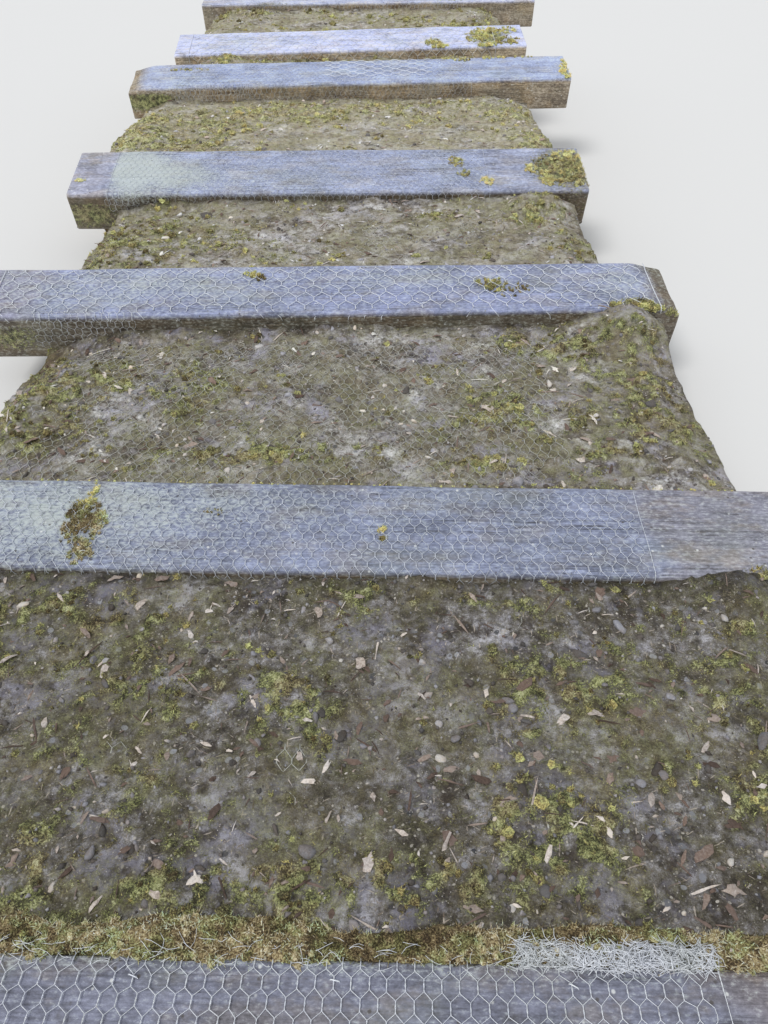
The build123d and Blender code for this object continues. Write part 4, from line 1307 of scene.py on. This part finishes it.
# What lies on each tread: stones, grit and chips, and moss stems, their height and width, cushions and their size
LOOSE = [((400, 1500, 760), (4200, 0.0055, 0.0011, 360, 0.0068)),
         ((340, 1000, 560), (3000, 0.006, 0.0013, 280, 0.0078)),
         ((240, 500, 320), (1500, 0.007, 0.0017, 180, 0.0095)),
         ((220, 500, 300), (1700, 0.008, 0.002, 210, 0.0110)),
         ((150, 300, 180), (900, 0.009, 0.0024, 110, 0.012)),
         ((150, 300, 180), (900, 0.010, 0.0026, 130, 0.013))]
for i in range(COUNT):
    timber_mesh(i, woods[i])
for i in TREADS:
    banks = tread_mesh(i, soils[i])
    stones_on(i, banks, *LOOSE[i][0], stone_paints[i], chip_paints[i])
    moss_on(i, banks, *LOOSE[i][1], mosses[i])
    tread_net(i, old_wire)

random = np.random.default_rng(77)
band = Gather()
moss_band(band, random, -1.03, 1.03, 0.146, 0.036, 0.019, -0.007, 601)
band.build("moss_band_1", dry_moss, matrix=MATRICES[0], shade_smooth=False)
fringe = Gather()
for x in np.arange(-1.0, 0.98, 0.06):
    tuft_patch(fringe, random, x + random.uniform(-0.02, 0.02), 0.1240, 0.030, 0.0030, 3, 0.0028, 0.80, 5)
fringe.build("moss_fringe_2", mosses[1], matrix=MATRICES[1], shade_smooth=False)
for i in range(1, COUNT):
    for name, paint, patches in (("moss_clumps", mosses[i], PATCHES), ("dry_moss_clumps", dry_moss, DRY_PATCHES)):
        cushions = Gather()
        for owner, *patch in patches:
            if owner == i:
                tuft_patch(cushions, random, *patch, 10, i)
        if cushions.count:
            cushions.build("%s_%d" % (name, i + 1), paint, matrix=MATRICES[i], shade_smooth=False)
wire_bundle(patch_wire)

# The nets: cell, and thickness of the wire
NETS = {0: ((0.025, 0.0255, 0.0160, 1), 0.0012), 1: ((0.025, 0.0245, 0.0125, 0), 0.0013), 3: (FINE, 0.0011),
        4: (FINE, 0.0011), 5: (COARSE, 0.0021), 6: (FINE, 0.0011)}
for i, (cell, thick) in NETS.items():
    timber_net(i, "net_%d" % (i + 1), bright_wire if i in (0, 5) else wire, ["timber_netting_%d" % (i + 1)],
               NET_LEFTS[i], cell, thick, 300 + i, 0.03 if i % 2 else -0.02)
timber_net(2, "coarse_net_3", bright_wire, ["coarse_netting_3_top", "coarse_netting_3_front"], -1.020, COARSE, 0.0021,
           350, 0.05, 0.0015, 0.0018)
turned_patch(4, -0.116, 0.470, patch_wire)
for i, x0, x1, length in ((2, -0.886, -0.560, 0.105), (3, -0.850, -0.700, 0.070), (4, -0.880, -0.420, 0.070)):
    net_drape(i, x0, x1, length, 379 + i, bright_wire)

# Stage, light and camera
stage_paint = Paint("backdrop")
stage_paint.set(Base_Color=(0.80, 0.80, 0.80), Roughness=0.9, Specular_IOR_Level=0.1)
floor_mesh = bpy.data.meshes.new("floor")
floor_mesh.from_pydata([(x, y, 0) for x, y in ((-150, -150), (150, -150), (150, 150), (-150, 150))], [], [[0, 1, 2, 3]])
floor_mesh.materials.append(stage_paint.material)
floor = add_object("floor", floor_mesh)

# The backdrop seen by the camera and in reflections is paler than the light of the sky
scene = bpy.context.scene
scene.world = bpy.data.worlds.new("studio")
scene.world.use_nodes = True
sky = scene.world.node_tree
rays = sky.nodes.new("ShaderNodeLightPath").outputs
seen = rays["Is Camera Ray"]
for kind in ("Is Glossy Ray", "Is Transmission Ray"):
    either = sky.nodes.new("ShaderNodeMath")
    either.operation = "MAXIMUM"
    sky.links.new(seen, either.inputs[0])
    sky.links.new(rays[kind], either.inputs[1])
    seen = either.outputs[0]
ambient, shown = sky.nodes["Background"], sky.nodes.new("ShaderNodeBackground")
for node, shade, strength in ((ambient, (0.94, 0.97, 1.0, 1), 0.66), (shown, (0.80, 0.81, 0.82, 1), 1.0)):
    node.inputs["Color"].default_value = shade
    node.inputs["Strength"].default_value = strength
blend = sky.nodes.new("ShaderNodeMixShader")
for socket, end in zip((seen, ambient.outputs[0], shown.outputs[0]), blend.inputs):
    sky.links.new(socket, end)
sky.links.new(blend.outputs[0], sky.nodes["World Output"].inputs[0])

sun_data = bpy.data.lights.new("softbox", "SUN")
sun_data.energy = 1.45
sun_data.angle = radians(22)
sun_data.color = (1.0, 0.98, 0.95)
sun = add_object("softbox", sun_data)
sun.rotation_euler = Vector((0.40, 0.42, -0.81)).to_track_quat("-Z", "Y").to_euler()

camera_data = bpy.data.cameras.new("camera")
camera_data.lens = 27.07
camera_data.sensor_width = 36
camera = add_object("camera", camera_data)
camera.location = (0.15, -0.267, 1.325)
camera.rotation_euler = (radians(90 - 41.5), 0, 0)
scene.camera = camera
scene.view_settings.view_transform = "Standard"
